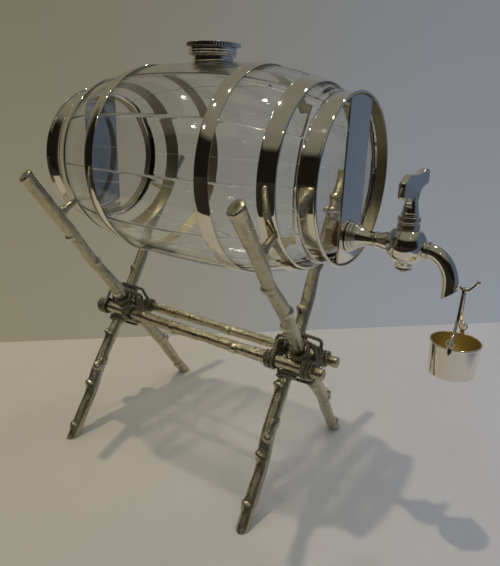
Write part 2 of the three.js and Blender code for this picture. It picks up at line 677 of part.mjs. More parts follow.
function makeLeg(side, x) {
  const below = 2 * leg.radius;
  const tip = leg.radius - leg.taper;
  const twig = makeTwig(legLength + below, leg.radius, tip, legNodeShares[side], leg.node, leg.nodeLength)
    .translate(0, 0, -below)
    .rotate([-side * THREE.MathUtils.radToDeg(legAngle), 0, 0]);
  const along = (distance) => [0, side * distance * Math.sin(legAngle), distance * Math.cos(legAngle)];
  const base = along(legLength - spur.fromTop);
  const toAxis = [0, side * leg.footY - base[1], cask.axisHeight - base[2]];
  const rest = bellyAt(x + legSlope(side) * base[2]) + gap + hoop.wall + gap;
  const spurReach = Math.hypot(...toAxis) - rest;
  const stubBase = along(crossAlong / 2);
  const shoots = [
    makeShoot(base, toAxis, spurReach, spur.radius, spur.tip),
    makeShoot(stubBase, [stub.tip, -side * stub.radius, stub.radius], stub.reach, stub.radius, stub.tip),
  ];
  const floor = block([-below, -below * 2, -below * 2], [below, below * 2, 0]);
  const tilt = new THREE.Matrix4().makeShear(0, 0, 0, 0, legSlope(side), 0);
  return shoots.reduce((body, shoot) => body.add(shoot), twig).subtract(floor).transform(tilt.elements);
}

// Two legs cross side by side at each end. The leg that leans near passes at the greater x.
const stand = group(assembly, 0, 0, 0);
for (const [end, place] of [[1, 'tap_end'], [-1, 'back_end']]) {
  for (const [side, name] of [[-1, 'near'], [1, 'far']]) {
    const x = crossingX[end] - side * legShift - legSlope(side) * crossHeight;
    piece(stand, `leg_${name}_${place}`, makeLeg(side, x), 'twig', [x, -side * leg.footY, 0]);
  }
}

// A stretcher bar along X
const barStart = crossingX[-1] - bars.pastBack;
const barLength = crossingX[1] + bars.pastTap - barStart;

function makeBar(radius, nodeShares) {
  return makeTwig(barLength, radius, radius, nodeShares, bars.node, bars.nodeLength)
    .rotate([0, 90, 0])
    .translate(barStart, 0, 0);
}

piece(stand, 'bar_near', makeBar(bars.nearRadius, nearNodeShares), 'twig', [0, -nearBarY, crossHeight]);
piece(stand, 'bar_far', makeBar(bars.farRadius, farNodeShares), 'twig', [0, farBarY, crossHeight]);

// A lashing is one length of wire. It goes round both bars outside the crossing, winds through the
// notches above and below the crossing, and goes round both bars again inside it.
const wireSeat = wire.radius + gap;
const tiltRoom = (bars.nearRadius + wireSeat) * Math.abs(legSlope(1));
const barLoopX = legShift + leg.radius + wireSeat + tiltRoom;
const frapX = barLoopX + 2 * wire.radius + wire.between;
const frapPitch = 2 * wire.radius + wire.between;
const frapStartY = ((frapTurns + 0.5) * frapPitch) / 2;

// Height of a wire in the notch, y away from the crossing
function notchHeight(y) {
  const clear = leg.radius + wireSeat + Math.abs(y) * Math.cos(legAngle);
  return clear / Math.sin(legAngle);
}

// From a wire end on one face of the crossing, round both bars and up to the notch. Side +1 is at +x.
function barLoop(side) {
  const near = { y: -nearBarY, reach: bars.nearRadius + wireSeat };
  const far = { y: farBarY, reach: bars.farRadius + wireSeat };
  const [first, last] = side > 0 ? [near, far] : [far, near];
  const places = [];
  const add = (bar, turn) => {
    const angle = THREE.MathUtils.degToRad(turn);
    places.push([barLoopX, side * bar.y + bar.reach * Math.cos(angle), bar.reach * Math.sin(angle)]);
  };
  const level = (first.reach + last.reach) / 2;
  places.push([barLoopX, wire.startY, level], [barLoopX, 0, level]);
  for (const turn of firstTurns) {
    add(first, turn);
  }
  places.push([barLoopX, 0, -level]);
  for (const turn of lastTurns) {
    add(last, turn);
  }
  const top = notchHeight(frapStartY);
  const half = (barLoopX + frapX) / 2;
  places.push([half, (frapStartY + side * last.y) / 2, (level + top) / 2 - wire.radius]);
  return places.map(([x, y, z]) => new THREE.Vector3(side * x, side * y, z));
}

// Turns through both notches, from the outer face to the inner one
function frapping() {
  const places = [];
  const total = frapTurns * frapCorners.length + 2;
  for (let i = 0; i < total; i += 1) {
    const [sideX, sideZ, start] = frapCorners[i % frapCorners.length];
    for (const share of cornerShares) {
      const progress = (i + share) / total;
      const y = frapStartY * (1 - 2 * progress);
      const angle = THREE.MathUtils.degToRad(start + 90 * share);
      const x = sideX * (frapX - wire.corner) + wire.corner * Math.cos(angle);
      const z = sideZ * (notchHeight(y) - wire.corner) + wire.corner * Math.sin(angle);
      places.push(new THREE.Vector3(x, y, z));
    }
  }
  return places;
}

function lashingLine() {
  const keys = [...barLoop(1), ...frapping(), ...barLoop(-1).reverse()];
  const curve = new THREE.CatmullRomCurve3(keys, false, 'centripetal');
  const loops = 2 + frapTurns + 1;
  return curve.getSpacedPoints(loops * loopSteps);
}

// Least gap between stretches of the wire that aren't neighbours
function leastGap(points) {
  const pitch = points[0].distanceTo(points[1]);
  const skip = Math.ceil((Math.PI * wire.corner) / pitch);
  let least = Infinity;
  for (let i = 0; i < points.length; i += 1) {
    for (let j = i + skip; j < points.length; j += 1) {
      least = Math.min(least, points[i].distanceTo(points[j]));
    }
  }
  return least - 2 * wire.radius;
}

const line = lashingLine();
console.log(`least gap of a lashing to itself: ${leastGap(line).toFixed(2)} mm`);
for (const [end, place] of [[1, 'tap_end'], [-1, 'back_end']]) {
  const body = woundTube(line, wire.radius, wireSides);
  piece(stand, `lashing_${place}`, body, 'wire', [crossingX[end], 0, crossHeight]);
}

export default assembly;
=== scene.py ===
"""Looks of a spirit barrel: a glass cask in plated hoops on a stand of twig-shaped legs.

Sizes are in millimetres and points are measured from the middle of the cask, on the floor, until a mesh
is made. Every surface is worked out with numpy as whole arrays.
"""
from __future__ import annotations
import json
import logging
import math
from dataclasses import dataclass, field
from enum import Enum
from typing import Mapping, Sequence, Union

import bmesh
import bpy
import numpy as np
from mathutils import Matrix, Vector


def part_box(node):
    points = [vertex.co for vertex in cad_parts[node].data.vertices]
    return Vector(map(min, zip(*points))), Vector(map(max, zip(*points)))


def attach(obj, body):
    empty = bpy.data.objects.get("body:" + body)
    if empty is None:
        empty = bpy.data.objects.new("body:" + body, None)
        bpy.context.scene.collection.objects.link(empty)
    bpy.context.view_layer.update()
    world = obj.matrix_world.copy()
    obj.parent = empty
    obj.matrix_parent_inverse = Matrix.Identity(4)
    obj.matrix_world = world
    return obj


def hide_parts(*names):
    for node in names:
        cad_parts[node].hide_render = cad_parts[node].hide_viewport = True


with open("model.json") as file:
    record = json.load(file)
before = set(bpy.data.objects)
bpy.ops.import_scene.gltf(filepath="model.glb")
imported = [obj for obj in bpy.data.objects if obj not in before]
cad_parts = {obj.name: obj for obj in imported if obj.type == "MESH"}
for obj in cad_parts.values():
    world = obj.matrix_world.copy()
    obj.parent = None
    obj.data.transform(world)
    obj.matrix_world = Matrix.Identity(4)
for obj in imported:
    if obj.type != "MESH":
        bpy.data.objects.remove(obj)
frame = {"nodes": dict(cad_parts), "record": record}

LOG = logging.getLogger("spirit_barrel")
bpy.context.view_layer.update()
MM = 0.001
MERGE = 1e-7
TURN = 2 * math.pi

Array = np.ndarray
Point = Sequence[float]
Pair = tuple[float, float]
Piece = bpy.types.Object


def box_mm(node: str) -> tuple[Array, Array]:
    """A CAD node's lowest and highest corner in the row frame.

    Args:
        node: The node's name.

    Returns:
        Both corners, in millimetres.
    """
    low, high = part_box(node)
    return np.array(low) / MM, np.array(high) / MM


MIDDLE_X = (box_mm("end_band_back_end")[0][0] + box_mm("end_band_tap_end")[1][0]) / 2


class Cut(Enum):
    """How one solid changes another."""

    JOIN = "UNION"
    REMOVE = "DIFFERENCE"


class Axis(Enum):
    """The line that a profile is turned about."""

    X = 0
    Y = 1
    Z = 2


class Slot(Enum):
    """The record's material slots that the dressed pieces take."""

    GLASS = "glass"
    PLATE = "plate"
    TWIG = "twig"
    WIRE = "wire"


# Shader expressions


class Socket:
    """An output socket whose operators add Math nodes, so that a pattern reads as a formula."""

    def __init__(self, recipe: "Recipe", output: bpy.types.NodeSocket) -> None:
        """Keeps the socket and the recipe that owns it."""
        self.recipe = recipe
        self.output = output

    def math(self, operation: str, *values: "Value") -> "Socket":
        """Adds one Math node.

        Args:
            operation: The Math node's operation.
            values: Its inputs in order.

        Returns:
            The node's output.
        """
        return self.recipe.node("ShaderNodeMath", {"operation": operation}, dict(enumerate(values)))

    def __add__(self, other: "Value") -> "Socket":
        """Sum."""
        return self.math("ADD", self, other)

    __radd__ = __add__

    def __sub__(self, other: "Value") -> "Socket":
        """Difference."""
        return self.math("SUBTRACT", self, other)

    def __rsub__(self, other: "Value") -> "Socket":
        """Difference from a number."""
        return self.math("SUBTRACT", other, self)

    def __mul__(self, other: "Value") -> "Socket":
        """Product."""
        return self.math("MULTIPLY", self, other)

    def ramp(self, low: float, high: float, start: float = 0.0, end: float = 1.0) -> "Socket":
        """A smooth step from start to end while this value goes from low to high.

        Args:
            low: Value at which the step starts.
            high: Value at which it ends.
            start: Result below the step.
            end: Result above it.

        Returns:
            The stepped value.
        """
        values = {"Value": self, "From Min": low, "From Max": high, "To Min": start, "To Max": end}
        return self.recipe.node("ShaderNodeMapRange", {"interpolation_type": "SMOOTHSTEP"}, values)


Value = Union[Socket, float, Sequence[float]]


class Recipe:
    """A node tree under construction, for a material or the world."""

    def __init__(self, tree: bpy.types.NodeTree) -> None:
        """Empties the tree."""
        self.tree = tree
        tree.nodes.clear()

    def node(self, kind: str, settings: Mapping[str, object] | None = None,
             values: Mapping[Union[int, str], Value] | None = None, output: Union[int, str] = 0) -> Socket:
        """Adds a node.

        Args:
            kind: The node's type.
            settings: Its own properties, set first.
            values: Numbers or links for its input sockets.
            output: The output that is handed back.

        Returns:
            That output, wrapped.
        """
        made = self.tree.nodes.new(kind)
        for name, value in (settings or {}).items():
            setattr(made, name, value)
        for name, value in (values or {}).items():
            if isinstance(value, Socket):
                self.tree.links.new(value.output, made.inputs[name])
            else:
                made.inputs[name].default_value = value
        return Socket(self, made.outputs[output] if made.outputs else None)

    def place(self, squeeze: Point = (1, 1, 1)) -> Socket:
        """Object coordinates, squeezed along each axis.

        Args:
            squeeze: Scale of the pattern along X, Y and Z.

        Returns:
            The coordinates.
        """
        here = self.node("ShaderNodeTexCoord", output="Object")
        return self.node("ShaderNodeMapping", values={"Vector": here, "Scale": squeeze})

    def noise(self, grain_mm: float, detail: float = 3, squeeze: Point = (1, 1, 1)) -> Socket:
        """Soft noise from 0 to 1.

        Args:
            grain_mm: Size of its patches.
            detail: Octaves.
            squeeze: Scale along each axis.

        Returns:
            The noise.
        """
        values = {"Vector": self.place(squeeze), "Scale": 1 / (grain_mm * MM), "Detail": detail}
        return self.node("ShaderNodeTexNoise", values=values)

    def attribute(self, name: str) -> Socket:
        """A number stored on the mesh."""
        return self.node("ShaderNodeAttribute", {"attribute_name": name}, output="Fac")

    def ray(self, kind: str) -> Socket:
        """1 for rays of one kind, such as Glossy, and 0 for all others."""
        return self.node("ShaderNodeLightPath", output=f"Is {kind} Ray")

    def part(self, vector: Value, axis: str) -> Socket:
        """The X, Y or Z of a vector."""
        return self.node("ShaderNodeSeparateXYZ", values={0: vector}, output=axis)

    def mix(self, share: Value, low: Value, high: Value, blend: str = "MIX") -> Socket:
        """Blends two colours.

        Args:
            share: 0 for the low colour, 1 for the high one.
            low: First colour.
            high: Second colour.
            blend: How they blend.

        Returns:
            The blended colour.
        """
        settings = {"data_type": "RGBA", "blend_type": blend, "clamp_factor": True}
        return self.node("ShaderNodeMix", settings, {0: share, 6: low, 7: high}, 2)

    def bump(self, height: Value, depth_mm: float, strength: float = 1.0) -> Socket:
        """Relief in the shading.

        Args:
            height: Height from 0 to 1.
            depth_mm: What a height of 1 stands for.
            strength: How much of it shows.

        Returns:
            The normal.
        """
        values = {"Strength": strength, "Distance": depth_mm * MM, "Height": height}
        return self.node("ShaderNodeBump", values=values)


def colour(red: float, green: float, blue: float) -> tuple[float, float, float, float]:
    """An opaque colour from linear values."""
    return (red, green, blue, 1.0)


def start_material(name: str) -> tuple[bpy.types.Material, Recipe]:
    """An empty material and its recipe.

    Args:
        name: The material's name.

    Returns:
        The material and the recipe that fills it.
    """
    material = bpy.data.materials.new(name)
    material.use_nodes = True
    return material, Recipe(material.node_tree)


def surface(recipe: Recipe, values: Mapping[str, Value]) -> None:
    """Joins a Principled shader to the output.

    Args:
        recipe: The recipe to end.
        values: Numbers or links for the shader's sockets.
    """
    shader = recipe.node("ShaderNodeBsdfPrincipled", values=values)
    recipe.node("ShaderNodeOutputMaterial", values={"Surface": shader})


@dataclass(frozen=True)
class ClearGlass:
    """Clear glass with wheel-cut lines. Lamps shine through it, a little dimmed."""

    tint: tuple = colour(0.985, 0.99, 0.985)
    ground: tuple = colour(0.93, 0.93, 0.9)
    ior: float = 1.47
    ground_roughness: float = 0.55
    lamp_share: tuple = colour(0.76, 0.765, 0.76)
    ripple_mm: float = 0.035

    def make(self) -> bpy.types.Material:
        """Builds the material.

        Returns:
            The material.
        """
        material, recipe = start_material("clear_glass")
        cut = recipe.attribute("cut_line").ramp(0.25, 0.8)
        ripple = recipe.bump(recipe.noise(34, 1), self.ripple_mm, 0.6)
        glass = recipe.node("ShaderNodeBsdfPrincipled", values={
            "Base Color": recipe.mix(cut, self.tint, self.ground), "Transmission Weight": 1.0,
            "IOR": self.ior, "Roughness": cut * self.ground_roughness, "Normal": ripple,
        })
        lamp = recipe.node("ShaderNodeBsdfTransparent", values={"Color": self.lamp_share})
        mixed = recipe.node("ShaderNodeMixShader", values={0: recipe.ray("Shadow"), 1: glass, 2: lamp})
        recipe.node("ShaderNodeOutputMaterial", values={"Surface": mixed})
        return material


@dataclass(frozen=True)
class Lining:
    """The colour of a piece's inner side, where its mesh's "inside" attribute is 1: gilt on the bucket,
    painted shade on bands and hoops.
    """

    pale: tuple
    deep: tuple
    roughness: float


GILT = Lining(colour(0.86, 0.73, 0.36), colour(0.72, 0.59, 0.25), 0.26)
# Painted shade: a dark olive colour on the inner sides of bands and hoops stands in for the shade they lie in
# against the glass.
SHADED_LINING = Lining(colour(0.34, 0.30, 0.185), colour(0.24, 0.205, 0.11), 0.36)


@dataclass(frozen=True)
class PolishedPlate:
    """Polished silver plate: faint hand-worked waves, hairline scratches and tarnish in its hollows."""

    silver: tuple = colour(0.90, 0.855, 0.75)
    tarnish: tuple = colour(0.42, 0.36, 0.24)
    roughness: float = 0.045
    wave_mm: float = 0.02

    def make(self, name: str, lining: Lining | None = None) -> bpy.types.Material:
        """Builds the material.

        Args:
            name: The material's name.
            lining: The colour of the inner side, if that differs; for bands and hoops it is painted shade.

        Returns:
            The material.
        """
        material, recipe = start_material(name)
        bloom = recipe.noise(22, 4).ramp(0.42, 0.72)
        scratch = recipe.noise(0.55, 2, (1, 0.09, 0.09)).ramp(0.5, 0.9)
        hollow = recipe.attribute("hollow")
        metal = recipe.mix(bloom * 0.13 + hollow * 0.75, self.silver, self.tarnish)
        roughness = self.roughness + bloom * 0.025 + scratch * 0.02 + hollow * 0.25
        # The inner side takes the lining's colour: gilt on the bucket, painted shade on bands and hoops.
        if lining:
            inside = recipe.attribute("inside")
            metal = recipe.mix(inside, metal, recipe.mix(bloom, lining.pale, lining.deep))
            roughness = roughness + inside * lining.roughness
        surface(recipe, {
            "Base Color": metal, "Metallic": 1.0, "Roughness": roughness,
            "Normal": recipe.bump(recipe.noise(7, 1), self.wave_mm, 0.5),
        })
        return material


@dataclass(frozen=True)
class FrostedPlate:
    """Softly frosted silver on the twigs: a fine grain over the bark and dark hollows at the nodes."""

    silver: tuple = colour(0.50, 0.45, 0.30)
    worn: tuple = colour(0.80, 0.74, 0.56)
    tarnish: tuple = colour(0.09, 0.07, 0.03)
    roughness: float = 0.27

    def make(self) -> bpy.types.Material:
        """Builds the material.

        Returns:
            The material.
        """
        material, recipe = start_material("frosted_plate")
        mottle = recipe.noise(3.2, 4).ramp(0.35, 0.7)
        grain = recipe.noise(0.45, 3)
        hollow = recipe.attribute("hollow")
        crest = recipe.attribute("crest")
        base = recipe.mix(mottle * 0.35 + crest * 0.65, self.silver, self.worn)
        surface(recipe, {
            "Base Color": recipe.mix(hollow, base, self.tarnish), "Metallic": 1.0,
            "Roughness": self.roughness + mottle * 0.1 - crest * 0.1 + hollow * 0.2,
            "Normal": recipe.bump(grain, 0.09, 0.55),
        })
        return material


@dataclass(frozen=True)
class TarnishedWire:
    """Twisted wire, near black where its strands lie close to the rope's middle and lighter on their backs.
    """

    bright: tuple = colour(0.42, 0.385, 0.28)
    dark: tuple = colour(0.015, 0.013, 0.008)
    roughness: float = 0.3

    def make(self) -> bpy.types.Material:
        """Builds the material.

        Returns:
            The material.
        """
        material, recipe = start_material("tarnished_wire")
        patch = recipe.noise(4, 3).ramp(0.3, 0.75)
        hollow = recipe.attribute("hollow")
        # The "hollow" attribute darkens each strand where it lies close to the rope's middle, between the
        # strands.
        surface(recipe, {
            "Base Color": recipe.mix(hollow * 0.9 + patch * 0.4, self.bright, self.dark), "Metallic": 1.0,
            "Roughness": self.roughness + patch * 0.12,
            "Normal": recipe.bump(recipe.noise(0.5, 2), 0.05, 0.5),
        })
        return material


@dataclass(frozen=True)
class PressedCork:
    """Plain cork with dark pores."""

    pale: tuple = colour(0.30, 0.19, 0.085)
    dark: tuple = colour(0.13, 0.075, 0.03)

    def make(self) -> bpy.types.Material:
        """Builds the material.

        Returns:
            The material.
        """
        material, recipe = start_material("pressed_cork")
        grain = recipe.noise(1.1, 4)
        surface(recipe, {
            "Base Color": recipe.mix(grain.ramp(0.4, 0.65), self.dark, self.pale), "Roughness": 0.85,
            "Normal": recipe.bump(grain, 0.2),
        })
        return material


class Finishes:
    """One material for each finish, shared by the pieces; the lining of bands and hoops carries painted
    shade.
    """

    def __init__(self) -> None:
        """Makes the materials."""
        self.glass = ClearGlass().make()
        self.plate = PolishedPlate().make("polished_plate")
        self.gilt_lined = PolishedPlate().make("gilt_lined_plate", GILT)
        self.painted_shade_lined = PolishedPlate().make("painted_shade_lined_plate", SHADED_LINING)
        self.twig = FrostedPlate().make()
        self.wire = TarnishedWire().make()
        self.cork = PressedCork().make()


# Meshes from grids of points


def rounded(outline: Array, cuts: Array | float, steps: int = 7, closed: bool = False) -> Array:
    """An outline with its corners rounded.

    Each corner P becomes the curve (1-s)^2 A + 2 s (1-s) P + s^2 B for s from 0 to 1, where A and B lie a
    cut's length before and after P, and no further than half way to its neighbours.

    Args:
        outline: Corners, one a row.
        cuts: One length for each corner, or one for all.
        steps: Points on each curve.
        closed: True if the last corner joins the first.

    Returns:
        The rounded outline.
    """
    corners = np.asarray(outline, float)
    lengths = np.broadcast_to(np.asarray(cuts, float), len(corners)).copy()
    if not closed:
        lengths[[0, -1]] = 0
    ends = []
    for neighbours in (np.roll(corners, 1, axis=0), np.roll(corners, -1, axis=0)):
        toward = neighbours - corners
        distance = np.maximum(np.linalg.norm(toward, axis=1), 1e-9)
        ends.append(corners + toward * np.minimum(lengths / distance, 0.5)[:, None])
    share = np.linspace(0, 1, steps)[None, :, None]
    before, after = (end[:, None, :] for end in ends)
    middle = corners[:, None, :]
    curve = (1 - share) ** 2 * before + 2 * share * (1 - share) * middle + share ** 2 * after
    points = curve.reshape(-1, corners.shape[1])
    keep = np.ones(len(points), bool)
    keep[1:] = np.linalg.norm(np.diff(points, axis=0), axis=1) > 1e-6
    return points[keep]


def circle(steps: int) -> Array:
    """Angles at equal steps round a circle."""
    return np.linspace(0, TURN, steps, endpoint=False)


def distances(path: Array) -> Array:
    """Distance along a path of each of its points from the first."""
    return np.concatenate([[0], np.cumsum(np.linalg.norm(np.diff(path, axis=0), axis=1))])


def turned(profile: Array, axis: Axis, steps: int = 96, centre: Point = (0, 0, 0),
           angles: Array | None = None) -> Array:
    """A profile turned about a line.

    A profile point (along, radius) at angle t becomes radius cos t and radius sin t in the two directions
    square to the line.

    Args:
        profile: Rows of along and radius.
        axis: The line's direction.
        steps: Points round the circle.
        centre: A point on the line, where along is zero.
        angles: Angles to use instead of equal steps.

    Returns:
        Points by profile place, angle and coordinate.
    """
    turn = circle(steps) if angles is None else angles
    along = np.repeat(profile[:, :1], len(turn), axis=1)
    first, second = profile[:, 1:] * np.cos(turn), profile[:, 1:] * np.sin(turn)
    order = [first, second]
    order.insert(axis.value, along)
    return np.stack(order, axis=2) + np.asarray(centre, float)


def directions(path: Array) -> tuple[Array, Array, Array]:
    """Directions along a path and across it, without twist.

    The first across direction comes from the world axis least in line with the path. Its turn between one
    point and the next is summed up and taken out.

    Args:
        path: Points, one a row.

    Returns:
        Unit directions along, across, and square to both, one a row each.
    """
    along = np.gradient(path, axis=0)
    along /= np.linalg.norm(along, axis=1, keepdims=True)
    reference = np.eye(3)[np.abs(along).argmin(axis=1)]
    across = np.cross(along, reference)
    across /= np.linalg.norm(across, axis=1, keepdims=True)
    other = np.cross(along, across)
    carried = across[:-1] - along[1:] * np.sum(across[:-1] * along[1:], axis=1, keepdims=True)
    slip = np.arctan2(np.sum(carried * other[1:], axis=1), np.sum(carried * across[1:], axis=1))
    turn = np.concatenate([[0], np.cumsum(slip)])[:, None]
    return along, across * np.cos(turn) + other * np.sin(turn), other * np.cos(turn) - across * np.sin(turn)


def square_to(way: Array) -> tuple[Array, Array]:
    """Two unit directions square to a unit direction and to each other."""
    first = np.cross(way, np.eye(3)[np.abs(way).argmin()])
    first /= np.linalg.norm(first)
    return first, np.cross(way, first)


def bell(distance: Array, width: Array | float) -> Array:
    """A bell curve: 1 at no distance and exp(-1) at one width."""
    return np.exp(-(distance / width) ** 2)


def edge_drop(share: Array) -> Array:
    """How far a rounded edge of radius 1 lies below its face, at a share of the way in from its foot."""
    return 1 - np.sqrt(np.clip(1 - (1 - share) ** 2, 0, 1))


def tube(path: Array, radius: Array | float, sides: int = 24) -> Array:
    """A round tube along a path.

    Args:
        path: Centreline points.
        radius: One radius, or one for each point.
        sides: Points round the tube.

    Returns:
        Points by place on the path, angle and coordinate.
    """
    _, across, other = directions(path)
    turn = circle(sides)
    ring = across[:, None, :] * np.cos(turn)[None, :, None] + other[:, None, :] * np.sin(turn)[None, :, None]
    return path[:, None, :] + ring * np.broadcast_to(np.asarray(radius, float), len(path))[:, None, None]


def capped(rings: Array) -> Array:
    """Rings with a pole at the middle of the first and the last."""
    first, last = (np.broadcast_to(ring.mean(axis=0), ring.shape)[None] for ring in rings[[0, -1]])
    return np.concatenate([first, rings, last])


def route(keys: Array, step: float) -> Array:
    """A smooth line through key points, at even steps.

    Each stretch is the cubic whose end slopes come from the neighbouring points, weighted by the square
    roots of their distances, which keeps it free of loops.

    Args:
        keys: Key points, one a row.
        step: Distance between the line's points.

    Returns:
        The line's points.
    """
    points = np.concatenate([2 * keys[:1] - keys[1:2], keys, 2 * keys[-1:] - keys[-2:-1]])
    pace = np.maximum(np.linalg.norm(np.diff(points, axis=0), axis=1) ** 0.5, 1e-6)[:, None]
    leap = np.diff(points, axis=0) / pace
    wide = (points[2:] - points[:-2]) / (pace[1:] + pace[:-1])
    slope = leap[:-1] - wide + leap[1:]
    share = np.linspace(0, 1, 24, endpoint=False)[None, :, None]
    start, end = keys[:-1, None], keys[1:, None]
    rise, fall = (slope[:-1] * pace[1:-1])[:, None], (slope[1:] * pace[1:-1])[:, None]
    curve = (start * (2 * share ** 3 - 3 * share ** 2 + 1) + rise * (share ** 3 - 2 * share ** 2 + share)
             + end * (3 * share ** 2 - 2 * share ** 3) + fall * (share ** 3 - share ** 2))
    dense = np.concatenate([curve.reshape(-1, 3), keys[-1:]])
    length = distances(dense)
    places = np.linspace(0, length[-1], max(2, round(length[-1] / step)) + 1)
    return np.stack([np.interp(places, length, dense[:, k]) for k in range(3)], axis=1)


def linked(name: str, data: bpy.types.ID) -> Piece:
    """A new object in the scene.

    Args:
        name: Its name.
        data: Its mesh, camera or lamp.

    Returns:
        The object.
    """
    made = bpy.data.objects.new(name, data)
    bpy.context.scene.collection.objects.link(made)
    return made


def skin(rings: Array, ring_closed: bool = False) -> Piece:
    """A closed mesh over a grid of points.

    Args:
        rings: Points by ring, place round the ring and coordinate.
        ring_closed: True if the last ring joins the first. Otherwise the end rings are poles.

    Returns:
        An object in the row frame, its faces pointing out.
    """
    count, sides = rings.shape[:2]
    number = np.arange(count * sides).reshape(count, sides)
    following = np.roll(number, -1, axis=0) if ring_closed else number[1:]
    current = number if ring_closed else number[:-1]
    square = [current, np.roll(current, -1, axis=1), np.roll(following, -1, axis=1), following]
    corners = np.stack(square, axis=2).reshape(-1, 4)
    mesh = bpy.data.meshes.new("skin")
    mesh.vertices.add(number.size)
    mesh.vertices.foreach_set("co", ((rings.reshape(-1, 3) + (MIDDLE_X, 0, 0)) * MM).ravel())
    mesh.loops.add(corners.size)
    mesh.loops.foreach_set("vertex_index", corners.ravel())
    mesh.polygons.add(len(corners))
    mesh.polygons.foreach_set("loop_start", np.arange(0, corners.size, 4))
    mesh.update(calc_edges=True)
    tidy_mesh(mesh)
    return linked("skin", mesh)


def tidy_mesh(mesh: bpy.types.Mesh, fill: bool = False) -> None:
    """Merges doubled corners and turns the faces outwards.

    Args:
        mesh: The mesh.
        fill: True to close its openings with flat faces.
    """
    work = bmesh.new()
    work.from_mesh(mesh)
    bmesh.ops.remove_doubles(work, verts=work.verts, dist=MERGE)
    if fill:
        bmesh.ops.holes_fill(work, edges=work.edges)
    bmesh.ops.recalc_face_normals(work, faces=work.faces)
    work.to_mesh(mesh)
    work.free()


def apply_modifiers(piece: Piece) -> None:
    """Makes a piece's modifiers part of its mesh.

    Args:
        piece: The piece.
    """
    graph = bpy.context.evaluated_depsgraph_get()
    fresh = bpy.data.meshes.new_from_object(piece.evaluated_get(graph))
    piece.modifiers.clear()
    piece.data = fresh


def combined(base: Piece, tool: Piece, cut: Cut) -> Piece:
    """Joins or cuts a solid with another, which is used up.

    Args:
        base: The solid that stays.
        tool: The solid that changes it.
        cut: What is done.

    Returns:
        The changed solid.
    """
    change = base.modifiers.new("cut", "BOOLEAN")
    change.object = tool
    change.operation = cut.value
    change.solver = "EXACT"
    apply_modifiers(base)
    bpy.data.objects.remove(tool)
    return base


def block(low: Point, high: Point) -> Piece:
    """A cutting block.

    Args:
        low: Its lowest corner.
        high: Its highest corner.

    Returns:
        The block.
    """
    low, high = np.asarray(low, float), np.asarray(high, float)
    square = np.array([[0, 0], [1, 0], [1, 1], [0, 1]], float)
    rings = [np.column_stack([square, np.full(4, level)]) for level in (0, 1)]
    return skin(capped(low + np.stack(rings) * (high - low)))


def rod(low: float, high: float, radius: float, axis: Axis, steps: int,
        centre: Point = (0, 0, 0)) -> Piece:
    """A round cutting tool.

    Args:
        low: Its start along the axis, from the centre.
        high: Its end.
        radius: Its radius.
        axis: Its direction.
        steps: Points round it.
        centre: A point on its axis.

    Returns:
        The tool.
    """
    profile = np.array([[low, 0], [low, radius], [high, radius], [high, 0]], float)
    return skin(turned(profile, axis, steps, centre))


def corner_rows(piece: Piece, name: str) -> Array:
    """What a piece's mesh holds for each corner.

    Args:
        piece: The piece.
        name: What is read: "co" for places in metres, "normal" for normals.

    Returns:
        Three numbers for each corner, one row each.
    """
    flat = np.empty(len(piece.data.vertices) * 3, np.float32)
    piece.data.vertices.foreach_get(name, flat)
    return flat.reshape(-1, 3).astype(float)


def corners_mm(piece: Piece) -> Array:
    """A piece's corners, from the middle of the cask, in millimetres."""
    return corner_rows(piece, "co") / MM - (MIDDLE_X, 0, 0)


def normals(piece: Piece) -> Array:
    """A piece's corner normals, one a row."""
    return corner_rows(piece, "normal")


def move_corners(piece: Piece, points: Array) -> None:
    """Puts a piece's corners at points measured from the middle of the cask."""
    piece.data.vertices.foreach_set("co", ((points + (MIDDLE_X, 0, 0)) * MM).astype(np.float32).ravel())
    piece.data.update()


def store(piece: Piece, name: str, values: Array) -> None:
    """Stores one number for each corner as an attribute."""
    kept = piece.data.attributes.new(name, "FLOAT", "POINT")
    kept.data.foreach_set("value", np.asarray(values, np.float32))


def dress(piece: Piece, node: str, material: bpy.types.Material,
          sharp_degrees: float = 38) -> None:
    """Names a finished piece, shades it and puts it in the place of its CAD node.

    Args:
        piece: The piece.
        node: The node that it stands for.
        material: Its finish.
        sharp_degrees: Edges steeper than this stay crisp.
    """
    piece.name = f"{node}_form"
    piece.data.name = piece.name
    piece.data.materials.clear()
    piece.data.materials.append(material)
    piece.data.polygons.foreach_set("material_index", np.zeros(len(piece.data.polygons), np.int32))
    piece.data.polygons.foreach_set("use_smooth", np.ones(len(piece.data.polygons), bool))
    piece.data.set_sharp_from_angle(angle=math.radians(sharp_degrees))
    body = next(name for name, nodes in frame["record"]["behaviour"]["bodies"].items() if node in nodes)
    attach(piece, body)
    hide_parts(node)
    LOG.info("%s on %s: %d corners", piece.name, body, len(piece.data.vertices))


def dress_node(node: str, material: bpy.types.Material) -> None:
    """Gives a CAD node that stays in view its finish.

    Args:
        node: The node's name.
        material: Its finish.
    """
    mesh = frame["nodes"][node].data
    mesh.materials.clear()
    mesh.materials.append(material)
    LOG.info("%s keeps its shape", node)


# The cask and what is fixed to it

GAP = 0.3
OVERRUN = 2.0
FINE_STEPS = 192
ENDS = ((1, "tap_end"), (-1, "back_end"))


